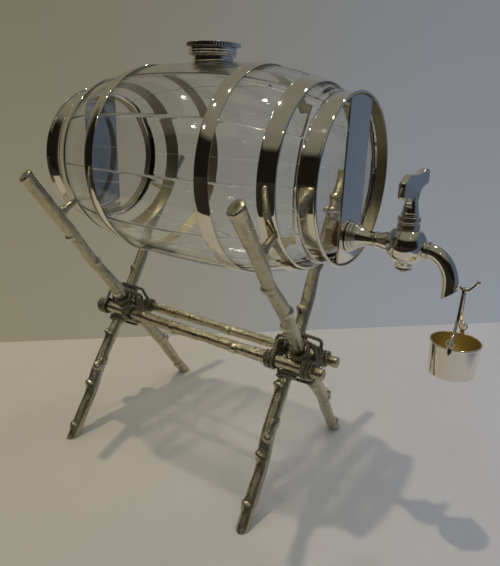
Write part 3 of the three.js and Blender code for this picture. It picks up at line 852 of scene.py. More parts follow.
@dataclass
class Cask:
    """The glass cask with its bands, hoops and straps."""

    finishes: Finishes
    half_length: float = 110.1
    belly_radius: float = 67.2
    shoulder_radius: float = 50.4
    belly_power: float = 2.8
    wall: float = 3.6
    end_wall: float = 4.6
    rim_depth: float = 6.1
    edge_round: float = 1.6
    inner_round: float = 7.0
    band_width: float = 12.2
    band_wall: float = 0.9
    band_sink: float = 0.4
    band_line: Pair = (1.3, 0.35)
    bead: float = 1.0
    bead_turns: Pair = (150, -90)
    hoop_wall: float = 0.9
    hoop_crown: float = 0.22
    hoop_ease: float = 0.3
    hoop_flat: float = 0.86
    hoop_sink: float = 0.1
    outer_hoop: Pair = (26.7, 9.8)
    inner_hoop: Pair = (63.7, 9.1)
    strap_width: float = 30.1
    strap_thickness: float = 1.2
    strap_set_back: float = 0.8
    strap_edge: float = 0.25
    staves: int = 12
    line_width: float = 0.55
    line_depth: float = 0.3
    neck_x: float = 4.0
    neck_radius: float = 12.0
    neck_bore: float = 9.5
    neck_height: float = 5.3
    lip_round: float = 0.8
    tail_hole: float = 4.3
    tap_below: float = 32.0
    axis_height: float = field(init=False)

    def __post_init__(self) -> None:
        """Takes the height of the axis from the frame and works out the shared places."""
        low, high = box_mm("end_band_tap_end")
        self.axis_height = float(low[2] + high[2]) / 2
        self.shoulder_x = self.half_length - self.band_width - GAP
        self.glass_end = self.half_length - self.rim_depth
        self.inner_end = self.glass_end - self.end_wall
        self.band_radius = self.shoulder_radius - self.band_sink
        self.spigot_radius = self.band_radius - self.band_wall - GAP
        self.neck_top = self.axis_height + self.belly_radius + self.neck_height
        self.strap_front = self.half_length - self.strap_set_back
        self.tail = (0.0, 0.0, self.axis_height - self.tap_below)

    def belly(self, x: Array) -> Array:
        """Radius of the glass at distances x from its middle.

        The radius falls from the belly to the shoulder by the share of the way there, to a power.
        """
        share = np.minimum(1, np.abs(x) / self.shoulder_x)
        return self.belly_radius - (self.belly_radius - self.shoulder_radius) * share ** self.belly_power

    @property
    def centre(self) -> tuple[float, float, float]:
        """The middle of the cask's axis."""
        return (0.0, 0.0, self.axis_height)

    def line_angles(self) -> Array:
        """Angles round the axis for the glass.

        Returns:
            The angles, close together at each cut line and wider between.
        """
        sector = TURN / self.staves
        widths = np.array([-2.6, -1.6, -1.0, -0.5, 0.0, 0.5, 1.0, 1.6, 2.6])
        near = widths * self.line_width / self.belly_radius
        wide = np.linspace(near[-1], sector - near[-1], 12)[1:-1]
        angles = np.concatenate([near, wide])
        return (np.arange(self.staves)[:, None] * sector + angles[None, :]).ravel()

    def near_line(self, angles: Array, radius: Array) -> Array:
        """How deep in a cut line places are, a bell curve of the distance round the glass.

        Args:
            angles: Their angles round the axis.
            radius: Their distances from it.

        Returns:
            1 on a line, falling to 0 beside it.
        """
        sector = TURN / self.staves
        off = (angles + sector / 2) % sector - sector / 2
        return bell(off * radius, self.line_width)

    def glass(self) -> None:
        """The hollow glass: turned with its cut lines, less the inside, the mouth and the tail hole."""
        x = np.linspace(-self.shoulder_x, self.shoulder_x, 121)
        belly = np.column_stack([x, self.belly(x)])
        end = np.array([[-self.glass_end, 0], [-self.glass_end, self.spigot_radius],
                        [-self.shoulder_x, self.spigot_radius], [-self.shoulder_x, self.shoulder_radius]])
        end = rounded(end, [0, self.edge_round, 0, 0])[:-1]
        profile = np.concatenate([end, belly, end[::-1] * (-1, 1)])
        angles = self.line_angles()
        fade = np.clip((self.shoulder_x - np.abs(profile[:, 0])) / 2, 0, 1)
        radius = profile[:, 1:] - self.line_depth * fade[:, None] * self.near_line(angles, profile[:, 1:])
        outside = turned(profile, Axis.X, centre=self.centre, angles=angles)
        outside[:, :, 1] = radius * np.cos(angles)
        outside[:, :, 2] = radius * np.sin(angles) + self.axis_height
        body = skin(outside)
        x = np.linspace(-self.inner_end, self.inner_end, 81)
        walls = np.column_stack([x, self.belly(x) - self.wall])
        corner = np.array([[-self.inner_end, 0], walls[0], walls[8]])
        round_end = rounded(corner, [0, self.inner_round, 0], 12)
        keep = np.abs(walls[:, 0]) < np.abs(round_end[-2, 0])
        inside = np.concatenate([round_end[:-1], walls[keep], round_end[-2::-1] * (-1, 1)])
        base = self.axis_height + self.belly_radius - self.wall
        lip = rounded(np.array([[base, 0], [base, self.neck_radius], [self.neck_top, self.neck_radius],
                                [self.neck_top, 0]]), [0, 0, self.lip_round, 0])
        middle = (self.neck_x, 0, 0)
        combined(body, skin(turned(lip, Axis.Z, 96, middle)), Cut.JOIN)
        combined(body, skin(turned(inside, Axis.X, 128, self.centre)), Cut.REMOVE)
        mouth = rod(base - 3 * OVERRUN, self.neck_top + OVERRUN, self.neck_bore, Axis.Z, 96, middle)
        combined(body, mouth, Cut.REMOVE)
        hole = rod(self.inner_end - OVERRUN, self.glass_end + OVERRUN, self.tail_hole, Axis.X, 48, self.tail)
        combined(body, hole, Cut.REMOVE)
        tidy_mesh(body.data)
        points = corners_mm(body) - self.centre
        radius = np.hypot(points[:, 1], points[:, 2])
        outer = radius > self.belly(points[:, 0]) - self.wall / 2
        neck = np.hypot(points[:, 0] - self.neck_x, points[:, 1]) < self.neck_radius + GAP
        line = self.near_line(np.arctan2(points[:, 2], points[:, 1]), radius)
        on_belly = np.abs(points[:, 0]) < self.shoulder_x - GAP
        store(body, "cut_line", line * outer * on_belly * ~(neck & (points[:, 2] > 0)))
        dress(body, "glass_cask", self.finishes.glass, 50)

    def lined(self, piece: Piece) -> Piece:
        """Marks the side of a band or hoop that faces the cask's axis, which takes painted shade.

        Args:
            piece: The band or hoop.

        Returns:
            The same piece.
        """
        from_axis = (corners_mm(piece) - self.centre)[:, 1:]
        outward = np.sum(from_axis * normals(piece)[:, 1:], axis=1) / np.linalg.norm(from_axis, axis=1)
        store(piece, "inside", outward < -0.5)
        return piece

    def end_band(self, end: int, place: str) -> None:
        """A sleeve with a rolled bead at its rim and a fine raised line at its back edge.

        Args:
            end: 1 at the tap's end, -1 at the back end.
            place: The end's name in the node.
        """
        back, inner = self.half_length - self.band_width, self.band_radius - self.band_wall
        turn = np.radians(np.linspace(*self.bead_turns, 18))
        bead = np.column_stack([self.half_length - self.bead + self.bead * np.cos(turn),
                                inner + self.bead + self.bead * np.sin(turn)])
        line, raised = back + self.band_line[0], self.band_radius + self.band_line[1]
        corners = [[back, inner], [back, raised], [line, raised], [line, self.band_radius],
                   [self.half_length - 2 * self.bead, self.band_radius]]
        sleeve = rounded(np.array(corners), [0, 0.4, 0.4, 0.2, 0])
        outline = np.concatenate([sleeve, bead]) * (end, 1)
        made = skin(turned(outline, Axis.X, FINE_STEPS, self.centre), True)
        # Its inner side takes painted shade.
        dress(self.lined(made), f"end_band_{place}", self.finishes.painted_shade_lined)

    def hoop(self, end: int, size: Pair, name: str) -> None:
        """A flat hoop that follows the glass, slightly crowned, with eased edges.

        Args:
            end: 1 at the tap's end, -1 at the back end.
            size: Distance of its middle from the rim, and its width.
            name: Its CAD node.
        """
        middle, width = end * (self.half_length - size[0]), size[1]
        x = np.linspace(-0.5, 0.5, 15)
        inner = np.column_stack([middle + x * width, self.belly(middle + x * width) + GAP])
        crown = self.hoop_crown * (1 - (2 * x) ** 2)
        ease = self.hoop_ease * np.maximum(0, np.abs(2 * x) - self.hoop_flat) / (1 - self.hoop_flat)
        outer = inner + np.column_stack([np.zeros(len(x)), self.hoop_wall - self.hoop_sink + crown - ease])
        made = skin(turned(np.concatenate([inner, outer[::-1]]), Axis.X, FINE_STEPS, self.centre), True)
        # Its inner side takes painted shade.
        dress(self.lined(made), name, self.finishes.painted_shade_lined, 50)

    def strap(self, end: int, place: str) -> None:
        """A flat plate across an end, its ends cut to the band's round and its edges eased.

        Args:
            end: 1 at the tap's end, -1 at the back end.
            place: The end's name in the node.
        """
        half, reach, edge = self.strap_width / 2, self.spigot_radius, self.strap_edge
        corner = math.asin(half / reach)
        arc = np.linspace(math.pi / 2 - corner, math.pi / 2 + corner, 25)
        top = np.column_stack([reach * np.cos(arc), reach * np.sin(arc)])
        side = np.column_stack([np.full(22, -half), np.linspace(top[-1, 1], -top[-1, 1], 24)[1:-1]])
        outline = np.concatenate([top, side, -top, -side])
        shrink = 1 - edge / np.array([half, reach])
        front, back = self.strap_front, self.strap_front - self.strap_thickness
        rings = [np.column_stack([np.full(len(outline), end * x), outline * share]) for x, share in (
            (front, shrink), (front - edge, 1), (back + edge, 1), (back, shrink))]
        made = skin(capped(np.stack(rings) + self.centre))
        if end > 0:
            hole = rod(back - OVERRUN, front + OVERRUN, self.tail_hole, Axis.X, 48, self.tail)
            combined(made, hole, Cut.REMOVE)
        dress(made, f"strap_{place}", self.finishes.plate, 20)

    def build(self) -> None:
        """Makes every piece of the cask."""
        self.glass()
        for end, place in ENDS:
            self.end_band(end, place)
            self.hoop(end, self.outer_hoop, f"outer_hoop_{place}")
            self.hoop(end, self.inner_hoop, f"inner_hoop_{place}")
            self.strap(end, place)


@dataclass
class NeckAndCap:
    """The threaded collar on the glass neck and the screw cap with its milled top."""

    cask: Cask
    mount_wall: float = 1.7
    mount_foot: tuple = ((0, 0.5), (0.22, 0.35), (0.34, 0))
    thread_wall: float = 1.0
    thread_height: float = 2.5
    thread_pitch: float = 1.2
    thread_depth: float = 0.45
    thread_start: float = 0.65
    thread_width: float = 0.28
    thread_fade: float = 0.3
    play: float = 0.55
    cap_wall: float = 2.3
    web: float = 0.9
    overhang: float = 1.0
    disc: float = 2.6
    edge_width: float = 1.6
    face_inset: float = 1.9
    face_drop: float = 0.32
    face_wave: float = 0.1
    knurl: float = 0.35
    knurls: int = 60
    line_heights: tuple[float, ...] = (1.4, 3.0)
    line_half: float = 0.35
    line_depth: float = 0.28
    face_ring: float = 5.2
    seal: float = 1.2

    def __post_init__(self) -> None:
        """Works out the shared places."""
        inner = self.cask.neck_radius + GAP
        self.middle = (self.cask.neck_x, 0.0, 0.0)
        self.inner = inner
        self.mount_radius = inner + self.mount_wall
        self.thread_radius = inner + self.thread_wall
        self.shoulder_top = self.cask.neck_top - self.thread_height
        self.cap_inner = self.thread_radius + self.thread_depth + self.play
        self.skirt = self.cap_inner + self.cap_wall
        self.web_bottom = self.cask.neck_top + 2 * GAP + self.seal
        self.web_top = self.web_bottom + self.web

    def mount(self) -> None:
        """The collar. Its foot follows the glass, and a ridge climbs round its top as a thread.

        The foot's height over (x, y) is that of the belly there, sqrt(R(x)^2 - y^2), plus the gap. The ridge
        stands out by a bell curve of the height over the line that climbs one pitch a turn.
        """
        turn = circle(144)
        spread = [[share, self.mount_radius + out] for share, out in self.mount_foot]
        corners = [[0, self.inner], *spread, [1, self.mount_radius], [1, self.thread_radius]]
        walls = rounded(np.array(corners), [0, 0.1, 0.05, 0.05, 0.08, 0])
        rise = np.linspace(0, self.thread_height, 24)
        radius = np.concatenate([walls[:, 1], np.full(24, self.thread_radius), [self.inner]])
        cosine, sine = np.cos(turn), np.sin(turn)
        x = self.cask.neck_x + radius[:, None] * cosine
        y = radius[:, None] * sine
        foot = self.cask.axis_height + np.sqrt((self.cask.belly(x) + GAP) ** 2 - y ** 2)
        low = foot[:len(walls)]
        height = low + walls[:, :1] * (self.shoulder_top - low)
        top = np.repeat(self.shoulder_top + np.append(rise, self.thread_height)[:, None], len(turn), axis=1)
        z = np.concatenate([height, top])
        line = self.shoulder_top + self.thread_pitch * (self.thread_start + turn / TURN)
        above = z[:, None, :] - (line + self.thread_pitch * np.arange(-1, 2)[:, None])[None]
        risen = np.clip((z - self.shoulder_top) / self.thread_fade, 0, 1)
        started = risen * np.clip((self.cask.neck_top - z) / self.thread_fade, 0, 1)
        ridge = self.thread_depth * bell(above, self.thread_width).max(axis=1) * started
        ridge[:len(walls)] = 0
        ridge[-1] = 0
        points = np.stack([x + ridge * cosine, y + ridge * sine, z], axis=2)
        dress(skin(points, True), "neck_mount", self.cask.finishes.plate)

    def shell(self) -> None:
        """The cap's skirt and web, with two turned lines round it."""
        low, top = self.shoulder_top + GAP, self.web_top
        line, groove = self.line_half, self.skirt - self.line_depth
        outer = [[low, self.skirt - self.knurl]]
        for height in self.line_heights:
            middle = low + height
            outer += [[middle - line, self.skirt], [middle, groove], [middle + line, self.skirt]]
        profile = [[self.web_bottom, 0], [self.web_bottom, self.cap_inner], [low, self.cap_inner], *outer,
                   [top, self.skirt], [top, 0]]
        cuts = [0, 0.3, 0.2, 0.3] + [0.1] * 6 + [0.35, 0]
        made = skin(turned(rounded(np.array(profile), cuts, 5), Axis.Z, 128, self.middle))
        dress(made, "cap_shell", self.cask.finishes.plate)

    def top(self) -> None:
        """The milled disc. Its rim waves with each knurl, and its top is turned in shallow rings."""
        bottom = self.web_top + GAP
        rim = self.skirt + self.overhang
        edge = rounded(np.array([[bottom, 0], [bottom, rim], [bottom + self.disc, rim],
                                 [bottom + self.disc, rim - self.edge_width]]), [0, 0.35, 0.4, 0], 6)
        radius = np.linspace(rim - self.face_inset, 0, 40)
        rings = self.face_wave * np.cos(TURN * radius / self.face_ring) * (radius > 2)
        face = np.column_stack([bottom + self.disc - self.face_drop + rings, radius])
        profile = np.concatenate([edge, face])
        turn = circle(self.knurls * 8)
        points = turned(profile, Axis.Z, centre=self.middle, angles=turn)
        share = np.clip((profile[:, 1] - rim + 0.5) / 0.5, 0, 1)[:, None]
        inward = self.knurl * share * (0.5 - 0.5 * np.cos(self.knurls * turn))[None, :]
        points[:, :, 0] -= inward * np.cos(turn)
        points[:, :, 1] -= inward * np.sin(turn)
        dress(skin(points), "cap_disc", self.cask.finishes.plate)

    def build(self) -> None:
        """Makes the collar and the cap."""
        self.mount()
        self.shell()
        self.top()
        dress_node("cap_seal", self.cask.finishes.cork)


@dataclass
class Tap:
    """The tap's body, spout and bucket hook. Its own places are taken from the middle of the ball.

    A slope is a pair: its width along the axis and its drop.
    """

    cask: Cask
    reach: float = 33.8
    rose_radius: float = 10.0
    ring_step: float = 1.7
    ring_shares: tuple[float, ...] = (1.0, 0.9, 0.78)
    ring_back_slope: Pair = (0.15, 0.45)
    ring_front_slope: Pair = (0.35, 0.75)
    bell_inset: float = 0.6
    neck_radius: float = 4.4
    neck_from_ball: float = 19.0
    neck_bead: Pair = (1.1, 0.75)
    neck_bead_at: float = 1.5
    neck_length: float = 3.2
    flare: float = 5.8
    flare_sink: float = 0.6
    tail_radius: float = 4.0
    tail_past_nut: float = 1.4
    gasket: float = 1.5
    nut: float = 4.0
    waterway: float = 1.9
    ball: float = 11.7
    ball_base: float = 4.9
    ball_turns: Pair = (-63, 48)
    foot_drop: float = 1.4
    foot_slope: Pair = (0.9, 0.2)
    crown: float = 2.5
    collar_radius: float = 6.45
    collar_slope: Pair = (0.45, 0.5)
    collar_sink: float = 0.2
    collar_step: float = 3.2
    groove: float = 0.9
    groove_depth: float = 0.65
    plug_top: float = 4.3
    plug_foot: float = 3.2
    play: float = 0.15
    spout_radius: float = 4.5
    spout_below: float = 1.6
    spout_reach: float = 17.6
    spout_drop: float = 26.9
    spout_seat: float = 2.1
    spout_lean: float = 3.5
    spout_ring: Pair = (5.5, 2.2)
    spout_ring_sink: float = 0.4
    mouth_widening: float = 1.75
    spout_shares: tuple = ((0, 0), (0.23, 0), (0.51, 0.07), (0.78, 0.25), (0.94, 0.48), (0.99, 0.72), (1, 1))
    hook_radius: float = 0.9
    hook_ball: float = 1.2
    hook_reach: float = 9.1
    hook_lift: float = 5.9
    saddle_below: float = 20.3
    hook_shares: tuple = ((0, 0.3), (0.1, 0.14), (0.285, 0), (0.54, 0.1), (0.78, 0.49), (1, 1))

    def __post_init__(self) -> None:
        """Works out the shared places."""
        self.x = self.cask.half_length + self.reach
        self.middle = (self.x, 0.0, self.cask.axis_height - self.cask.tap_below)
        self.seat = np.array(self.middle) - (0, 0, self.spout_below)
        self.foot = self.ball + self.foot_drop
        self.ball_top = self.ball - self.crown
        self.collar_top = self.ball_top + 2 * self.collar_step + self.groove
        self.socket_x = self.ball - self.spout_seat
        self.spout_x = self.socket_x + GAP
        self.hook_x = self.spout_x + self.spout_reach + self.spout_radius + GAP

    def plug_radius(self, z: float) -> float:
        """Radius of the tapered plug at a height from the middle of the ball."""
        share = (z + self.foot) / (self.collar_top + self.foot)
        return self.plug_foot + (self.plug_top - self.plug_foot) * share

    def body(self) -> None:
        """Rose, bell, pipe, ball and collar as two turned solids in one, less the bores."""
        rose_back = self.cask.strap_front + GAP - self.x
        tail_end = self.cask.inner_end - 2 * GAP - self.gasket - self.nut - self.tail_past_nut - self.x
        (back_width, back_drop), (front_width, front_drop) = self.ring_back_slope, self.ring_front_slope
        corners = [[tail_end, 0], [tail_end, self.tail_radius], [rose_back, self.tail_radius]]
        cuts = [0, 0.5, 0]
        for i, share in enumerate(self.ring_shares):
            x, radius = rose_back + i * self.ring_step, self.rose_radius * share
            corners += [[x, radius - back_drop], [x + back_width, radius],
                        [x + self.ring_step - front_width, radius], [x + self.ring_step, radius - front_drop]]
            cuts += [0.15, 0.5, 0.5, 0.15]
        rings = rounded(np.array(corners), cuts + [0] * (len(corners) - len(cuts)), 5)
        share = np.linspace(0.03, 1, 22)
        start = rose_back + len(self.ring_shares) * self.ring_step
        bell_radius = self.rose_radius * self.ring_shares[-1] - self.bell_inset
        flared = np.column_stack([start + (-self.neck_from_ball - start) * share,
                                  self.neck_radius + (bell_radius - self.neck_radius) * (1 - share) ** 2])
        bead_turn = np.linspace(math.pi, 0, 9)
        half, rise = self.neck_bead
        bead = np.column_stack([-self.neck_from_ball + self.neck_bead_at + half * np.cos(bead_turn),
                                self.neck_radius + rise * np.sin(bead_turn)])
        into = np.array([[-self.neck_from_ball + self.neck_length, self.neck_radius],
                         [-self.ball + self.flare_sink, self.flare], [0, self.flare], [0, 0]])
        pipe = skin(turned(np.concatenate([rings, flared, bead, into]), Axis.X, 72, self.middle))
        width, spread = self.foot_slope
        foot = rounded(np.array([[-self.foot, 0], [-self.foot, self.ball_base],
                                 [-self.foot + width, self.ball_base + spread]]), [0, 0.5, 0])
        side = np.radians(np.linspace(*self.ball_turns, 34))
        urn_side = np.column_stack([self.ball * np.sin(side), self.ball * np.cos(side)])
        ring, (width, drop) = self.collar_radius, self.collar_slope
        base = self.ball_top - self.collar_sink
        low = self.ball_top + self.collar_step
        high = low + self.groove
        collar = rounded(np.array([
            [base, ring - drop], [base + width, ring], [low, ring], [low, ring - self.groove_depth],
            [high, ring - self.groove_depth], [high, ring], [self.collar_top, ring], [self.collar_top, 0],
        ]), [0, 0.3, 0.6, 0.2, 0.2, 0.6, 0.6, 0], 5)
        urn = np.concatenate([foot, urn_side, collar])
        combined(pipe, skin(turned(urn, Axis.Z, 96, self.middle)), Cut.JOIN)
        low_radius = self.plug_radius(-self.foot) + self.play
        top_radius = self.plug_radius(self.collar_top) + self.play
        under, over = -self.foot - OVERRUN, self.collar_top + OVERRUN
        bore = np.array([[under, 0], [under, low_radius], [-self.foot, low_radius],
                         [self.collar_top, top_radius], [over, top_radius], [over, 0]])
        combined(pipe, skin(turned(bore, Axis.Z, 48, self.middle)), Cut.REMOVE)
        past = self.ball + OVERRUN
        combined(pipe, rod(tail_end - OVERRUN, past, self.waterway, Axis.X, 32, self.middle), Cut.REMOVE)
        combined(pipe, rod(self.socket_x, past, self.spout_radius + GAP, Axis.X, 48, self.seat), Cut.REMOVE)
        tidy_mesh(pipe.data)
        dress(pipe, "tap_body", self.cask.finishes.plate, 40)

    def flat_route(self, shares: Sequence[Point], start_x: float, start_z: float, reach: float, drop: float,
                   step: float) -> Array:
        """A smooth line in the plane of the tap.

        Args:
            shares: Key points as shares of reach and drop.
            start_x: X of share zero, from the middle of the ball.
            start_z: Z of share zero.
            reach: Length along X that a share of 1 stands for.
            drop: Length along Z that a share of 1 stands for.
            step: Distance between the line's points.

        Returns:
            The line's points.
        """
        keys = np.array([[start_x + a * reach, 0, start_z + b * drop] for a, b in shares])
        return route(keys + self.middle, step)

    def spout(self) -> None:
        """A bent pipe with a double bead at its root, bored through and cut slantwise at its mouth."""
        line = self.flat_route(self.spout_shares, self.spout_x, -self.spout_below, self.spout_reach,
                               -self.spout_drop, 0.6)
        share = np.linspace(0, 1, len(line))
        radius = np.interp(share, [0, 0.25, 0.8, 1], [1, 1, 0.97, 1]) * self.spout_radius
        made = skin(capped(tube(line, radius, 64)))
        ring_x = self.ball + GAP
        big, wide = self.spout_ring
        side = np.linspace(0, 1, 25)
        root = self.spout_radius - self.spout_ring_sink
        beads = np.column_stack([ring_x + wide * side,
                                 root + (big - root) * np.sqrt(np.abs(np.sin(TURN * side)) + 1e-6)])
        beads = np.concatenate([[[ring_x, 0]], beads, [[ring_x + wide, 0]]])
        combined(made, skin(turned(beads, Axis.X, 64, self.seat)), Cut.JOIN)
        start = line[0] - (OVERRUN, 0, 0)
        inner = np.concatenate([[start], line, [line[-1] - (0, 0, OVERRUN)]])
        widening = np.interp(np.linspace(0, 1, len(inner)), [0, 0.6, 1], [1, 1, self.mouth_widening])
        bore = widening * self.waterway
        combined(made, skin(capped(tube(inner, bore, 32))), Cut.REMOVE)
        lean = self.spout_lean / self.spout_radius
        reach = 3 * self.spout_radius
        mouth = line[-1] + (0, 0, self.spout_radius)
        knife = block(mouth - reach, mouth + (reach, reach, 0))
        points = corners_mm(knife)
        points[:, 2] += (points[:, 0] - mouth[0]) * lean
        move_corners(knife, points)
        combined(made, knife, Cut.REMOVE)
        tidy_mesh(made.data)
        dress(made, "tap_spout", self.cask.finishes.plate, 45)

    def hook(self) -> None:
        """A tapered wire that ends in a small ball.

        Its radius is the wire's, and near the tip that of a circle round the ball's middle.
        """
        line = self.flat_route(self.hook_shares, self.hook_x, -self.saddle_below, self.hook_reach,
                               self.hook_lift, 0.16)
        past = np.arange(1, 8) * 0.16
        tip_way = line[-1] - line[-2]
        line = np.concatenate([line, line[-1] + past[:, None] * tip_way / np.linalg.norm(tip_way)])
        left = np.linalg.norm(line - line[-8], axis=1)
        ball = np.sqrt(np.maximum(self.hook_ball ** 2 - left ** 2, 0.0))
        radius = np.where(np.arange(len(line)) < len(line) - 8, np.maximum(self.hook_radius, ball), ball)
        dress(skin(capped(tube(line, np.maximum(radius, 0.05), 20))), "bucket_hook",
              self.cask.finishes.plate, 60)

    def build(self) -> None:
        """Makes the tap's fixed pieces and dresses its washers and nut."""
        self.body()
        self.spout()
        self.hook()
        for node in ("outer_cork_washer", "inner_cork_washer"):
            dress_node(node, self.cask.finishes.cork)
        dress_node("tail_nut", self.cask.finishes.plate)


@dataclass
class Key:
    """The turning key: plug, scrolled handle, washer and screw."""

    tap: Tap
    neck_radius: float = 5.0
    neck_tip: float = 4.0
    neck_height: float = 7.6
    neck_ring: float = 1.5
    neck_slope: Pair = (0.4, 0.35)
    tip_drop: float = 1.0
    rest_turn: float = math.radians(10)
    leaf: float = 4.6
    span: float = 14.0
    height: float = 20.6
    thickness: float = 4.2
    bevel: float = 0.7
    face_margin: float = 0.3
    sunk: float = 2.6
    corner_round: float = 1.4
    outline_shares: tuple = (
        (0.31, 0), (0.31, 0.14), (0.38, 0.34), (0.5, 0.48), (0.74, 0.545), (0.96, 0.575), (1, 0.66),
        (1, 0.84), (0.985, 0.95), (0.84, 1), (0.62, 0.99), (0.46, 0.93), (0.2, 0.875), (-0.16, 0.87),
        (-0.46, 0.895), (-0.6, 0.86), (-0.8, 0.76), (-0.955, 0.68), (-0.97, 0.5), (-0.955, 0.27),
        (-0.84, 0.235), (-0.58, 0.26), (-0.38, 0.19), (-0.31, 0.1), (-0.31, 0),
    )
    washer_radius: float = 4.9
    washer_thickness: float = 1.5
    washer_dome: Pair = (0.5, 1.2)
    screw_radius: float = 2.5
    screw_head: float = 1.4
    screw_dome: float = 0.9
    screw_face_share: float = 0.7
    screw_slot: float = 0.7
    screw_slot_depth: float = 0.6
    shank: float = 1.0
    screw_length: float = 6.0

    def __post_init__(self) -> None:
        """Works out the shared places."""
        self.plug_top = self.tap.collar_top + self.neck_height
        self.washer_low = -self.tap.foot - GAP - self.washer_thickness
        self.finish = self.tap.cask.finishes.plate

    def turned_key(self, piece: Piece) -> Piece:
        """Turns a piece, made about the vertical through the cask's middle, to the key's rest and place.

        Args:
            piece: The piece.

        Returns:
            The same piece in its place.
        """
        points = corners_mm(piece)
        cosine, sine = math.cos(self.rest_turn), math.sin(self.rest_turn)
        x, y = points[:, 0].copy(), points[:, 1].copy()
        points[:, 0] = x * cosine + y * sine
        points[:, 1] = y * cosine - x * sine
        move_corners(piece, points + self.tap.middle)
        return piece

    def plug(self) -> None:
        """The tapered plug, less the port, the screw's hole and the handle's seat.

        Its neck ends in a cone, of which the seat leaves a pointed leaf on each face of the handle.
        """
        tap, low = self.tap, -self.tap.foot
        wide, neck = tap.plug_radius(tap.collar_top), tap.collar_top + GAP
        ring, (width, drop) = neck + self.neck_ring, self.neck_slope
        profile = rounded(np.array([
            [low, 0], [low, tap.plug_radius(low)], [tap.collar_top, wide], [neck, wide],
            [neck, self.neck_radius], [ring, self.neck_radius], [ring + width, self.neck_radius - drop],
            [self.plug_top - self.tip_drop, self.neck_tip], [self.plug_top + self.leaf, self.thickness / 2],
            [self.plug_top + self.leaf, 0],
        ]), [0, 0.3, 0, 0, 0.35, 0.3, 0.2, 1.6, 0, 0], 5)
        made = skin(turned(profile, Axis.Z, 64))
        combined(made, rod(-tap.ball, tap.ball, tap.waterway, Axis.Y, 32), Cut.REMOVE)
        hole = rod(low - OVERRUN, low + self.screw_length, self.shank + GAP, Axis.Z, 24)
        combined(made, hole, Cut.REMOVE)
        half = self.thickness / 2 + GAP
        seat = block((-half, -self.neck_radius, self.plug_top - self.sunk),
                     (half, self.neck_radius, self.plug_top + self.leaf + OVERRUN))
        combined(made, seat, Cut.REMOVE)
        tidy_mesh(made.data)
        dress(self.turned_key(made), "tap_plug", self.finish)

    def handle(self) -> None:
        """A scrolled blade whose far lobe stands high and whose near lobe hangs lower.

        Each ring is the outline drawn in by the rounding of the edge, 1 - cos, while it goes through the
        thickness by its sine. One more ring, drawn in further, keeps each face flat up to its edge.
        """
        shares = np.array(self.outline_shares)
        outline = rounded(shares * (self.span, self.height), self.corner_round, 5, True)
        way = np.roll(outline, -1, axis=0) - np.roll(outline, 1, axis=0)
        inward = np.column_stack([-way[:, 1], way[:, 0]]) / np.linalg.norm(way, axis=1)[:, None]
        edge = np.radians(np.linspace(0, 90, 7))
        section = [(self.bevel * (1 - math.cos(angle)), self.bevel * math.sin(angle)) for angle in edge]
        section.append((self.bevel + self.face_margin, self.bevel))
        half = self.thickness / 2
        rings = []
        for side, order in ((-1, section[::-1]), (1, section)):
            for inset, rise in order:
                drawn = outline + inward * inset
                depth = side * (half - self.bevel + rise)
                rings.append(np.column_stack([np.full(len(outline), depth), drawn]))
        made = skin(np.stack(rings) + (0, 0, self.plug_top - self.sunk + GAP))
        tidy_mesh(made.data, True)
        dress(self.turned_key(made), "tap_handle", self.finish, 30)

    def fastening(self) -> None:
        """The domed washer and the slotted screw under the ball."""
        low, high = self.washer_low, self.washer_low + self.washer_thickness
        bore = self.shank + GAP
        width, drop = self.washer_dome
        corners = [[high, bore], [high, self.washer_radius], [low + width, self.washer_radius],
                   [low, self.washer_radius - drop], [low, bore]]
        washer = rounded(np.array(corners), [0, 0.2, 0.3, 0.4, 0], 5, True)
        dress(self.turned_key(skin(turned(washer, Axis.Z, 64), True)), "key_washer", self.finish)
        top = low - GAP
        bottom, tip = top - self.screw_head, self.screw_length - 2 * GAP - self.tap.foot
        corners = [[bottom, 0], [bottom, self.screw_radius * self.screw_face_share],
                   [bottom + self.screw_dome, self.screw_radius], [top, self.screw_radius],
                   [top, self.shank], [tip, self.shank], [tip, 0]]
        screw = rounded(np.array(corners), [0, 0.8, 0.6, 0.1, 0, 0.2, 0], 5)
        made = skin(turned(screw, Axis.Z, 48))
        half, reach = self.screw_slot / 2, self.screw_radius + OVERRUN
        slot = block((-reach, -half, bottom - OVERRUN), (reach, half, bottom + self.screw_slot_depth))
        combined(made, slot, Cut.REMOVE)
        tidy_mesh(made.data)
        dress(self.turned_key(made), "key_screw", self.finish)

    def build(self) -> None:
        """Makes the key's pieces."""
        self.plug()
        self.handle()
        self.fastening()


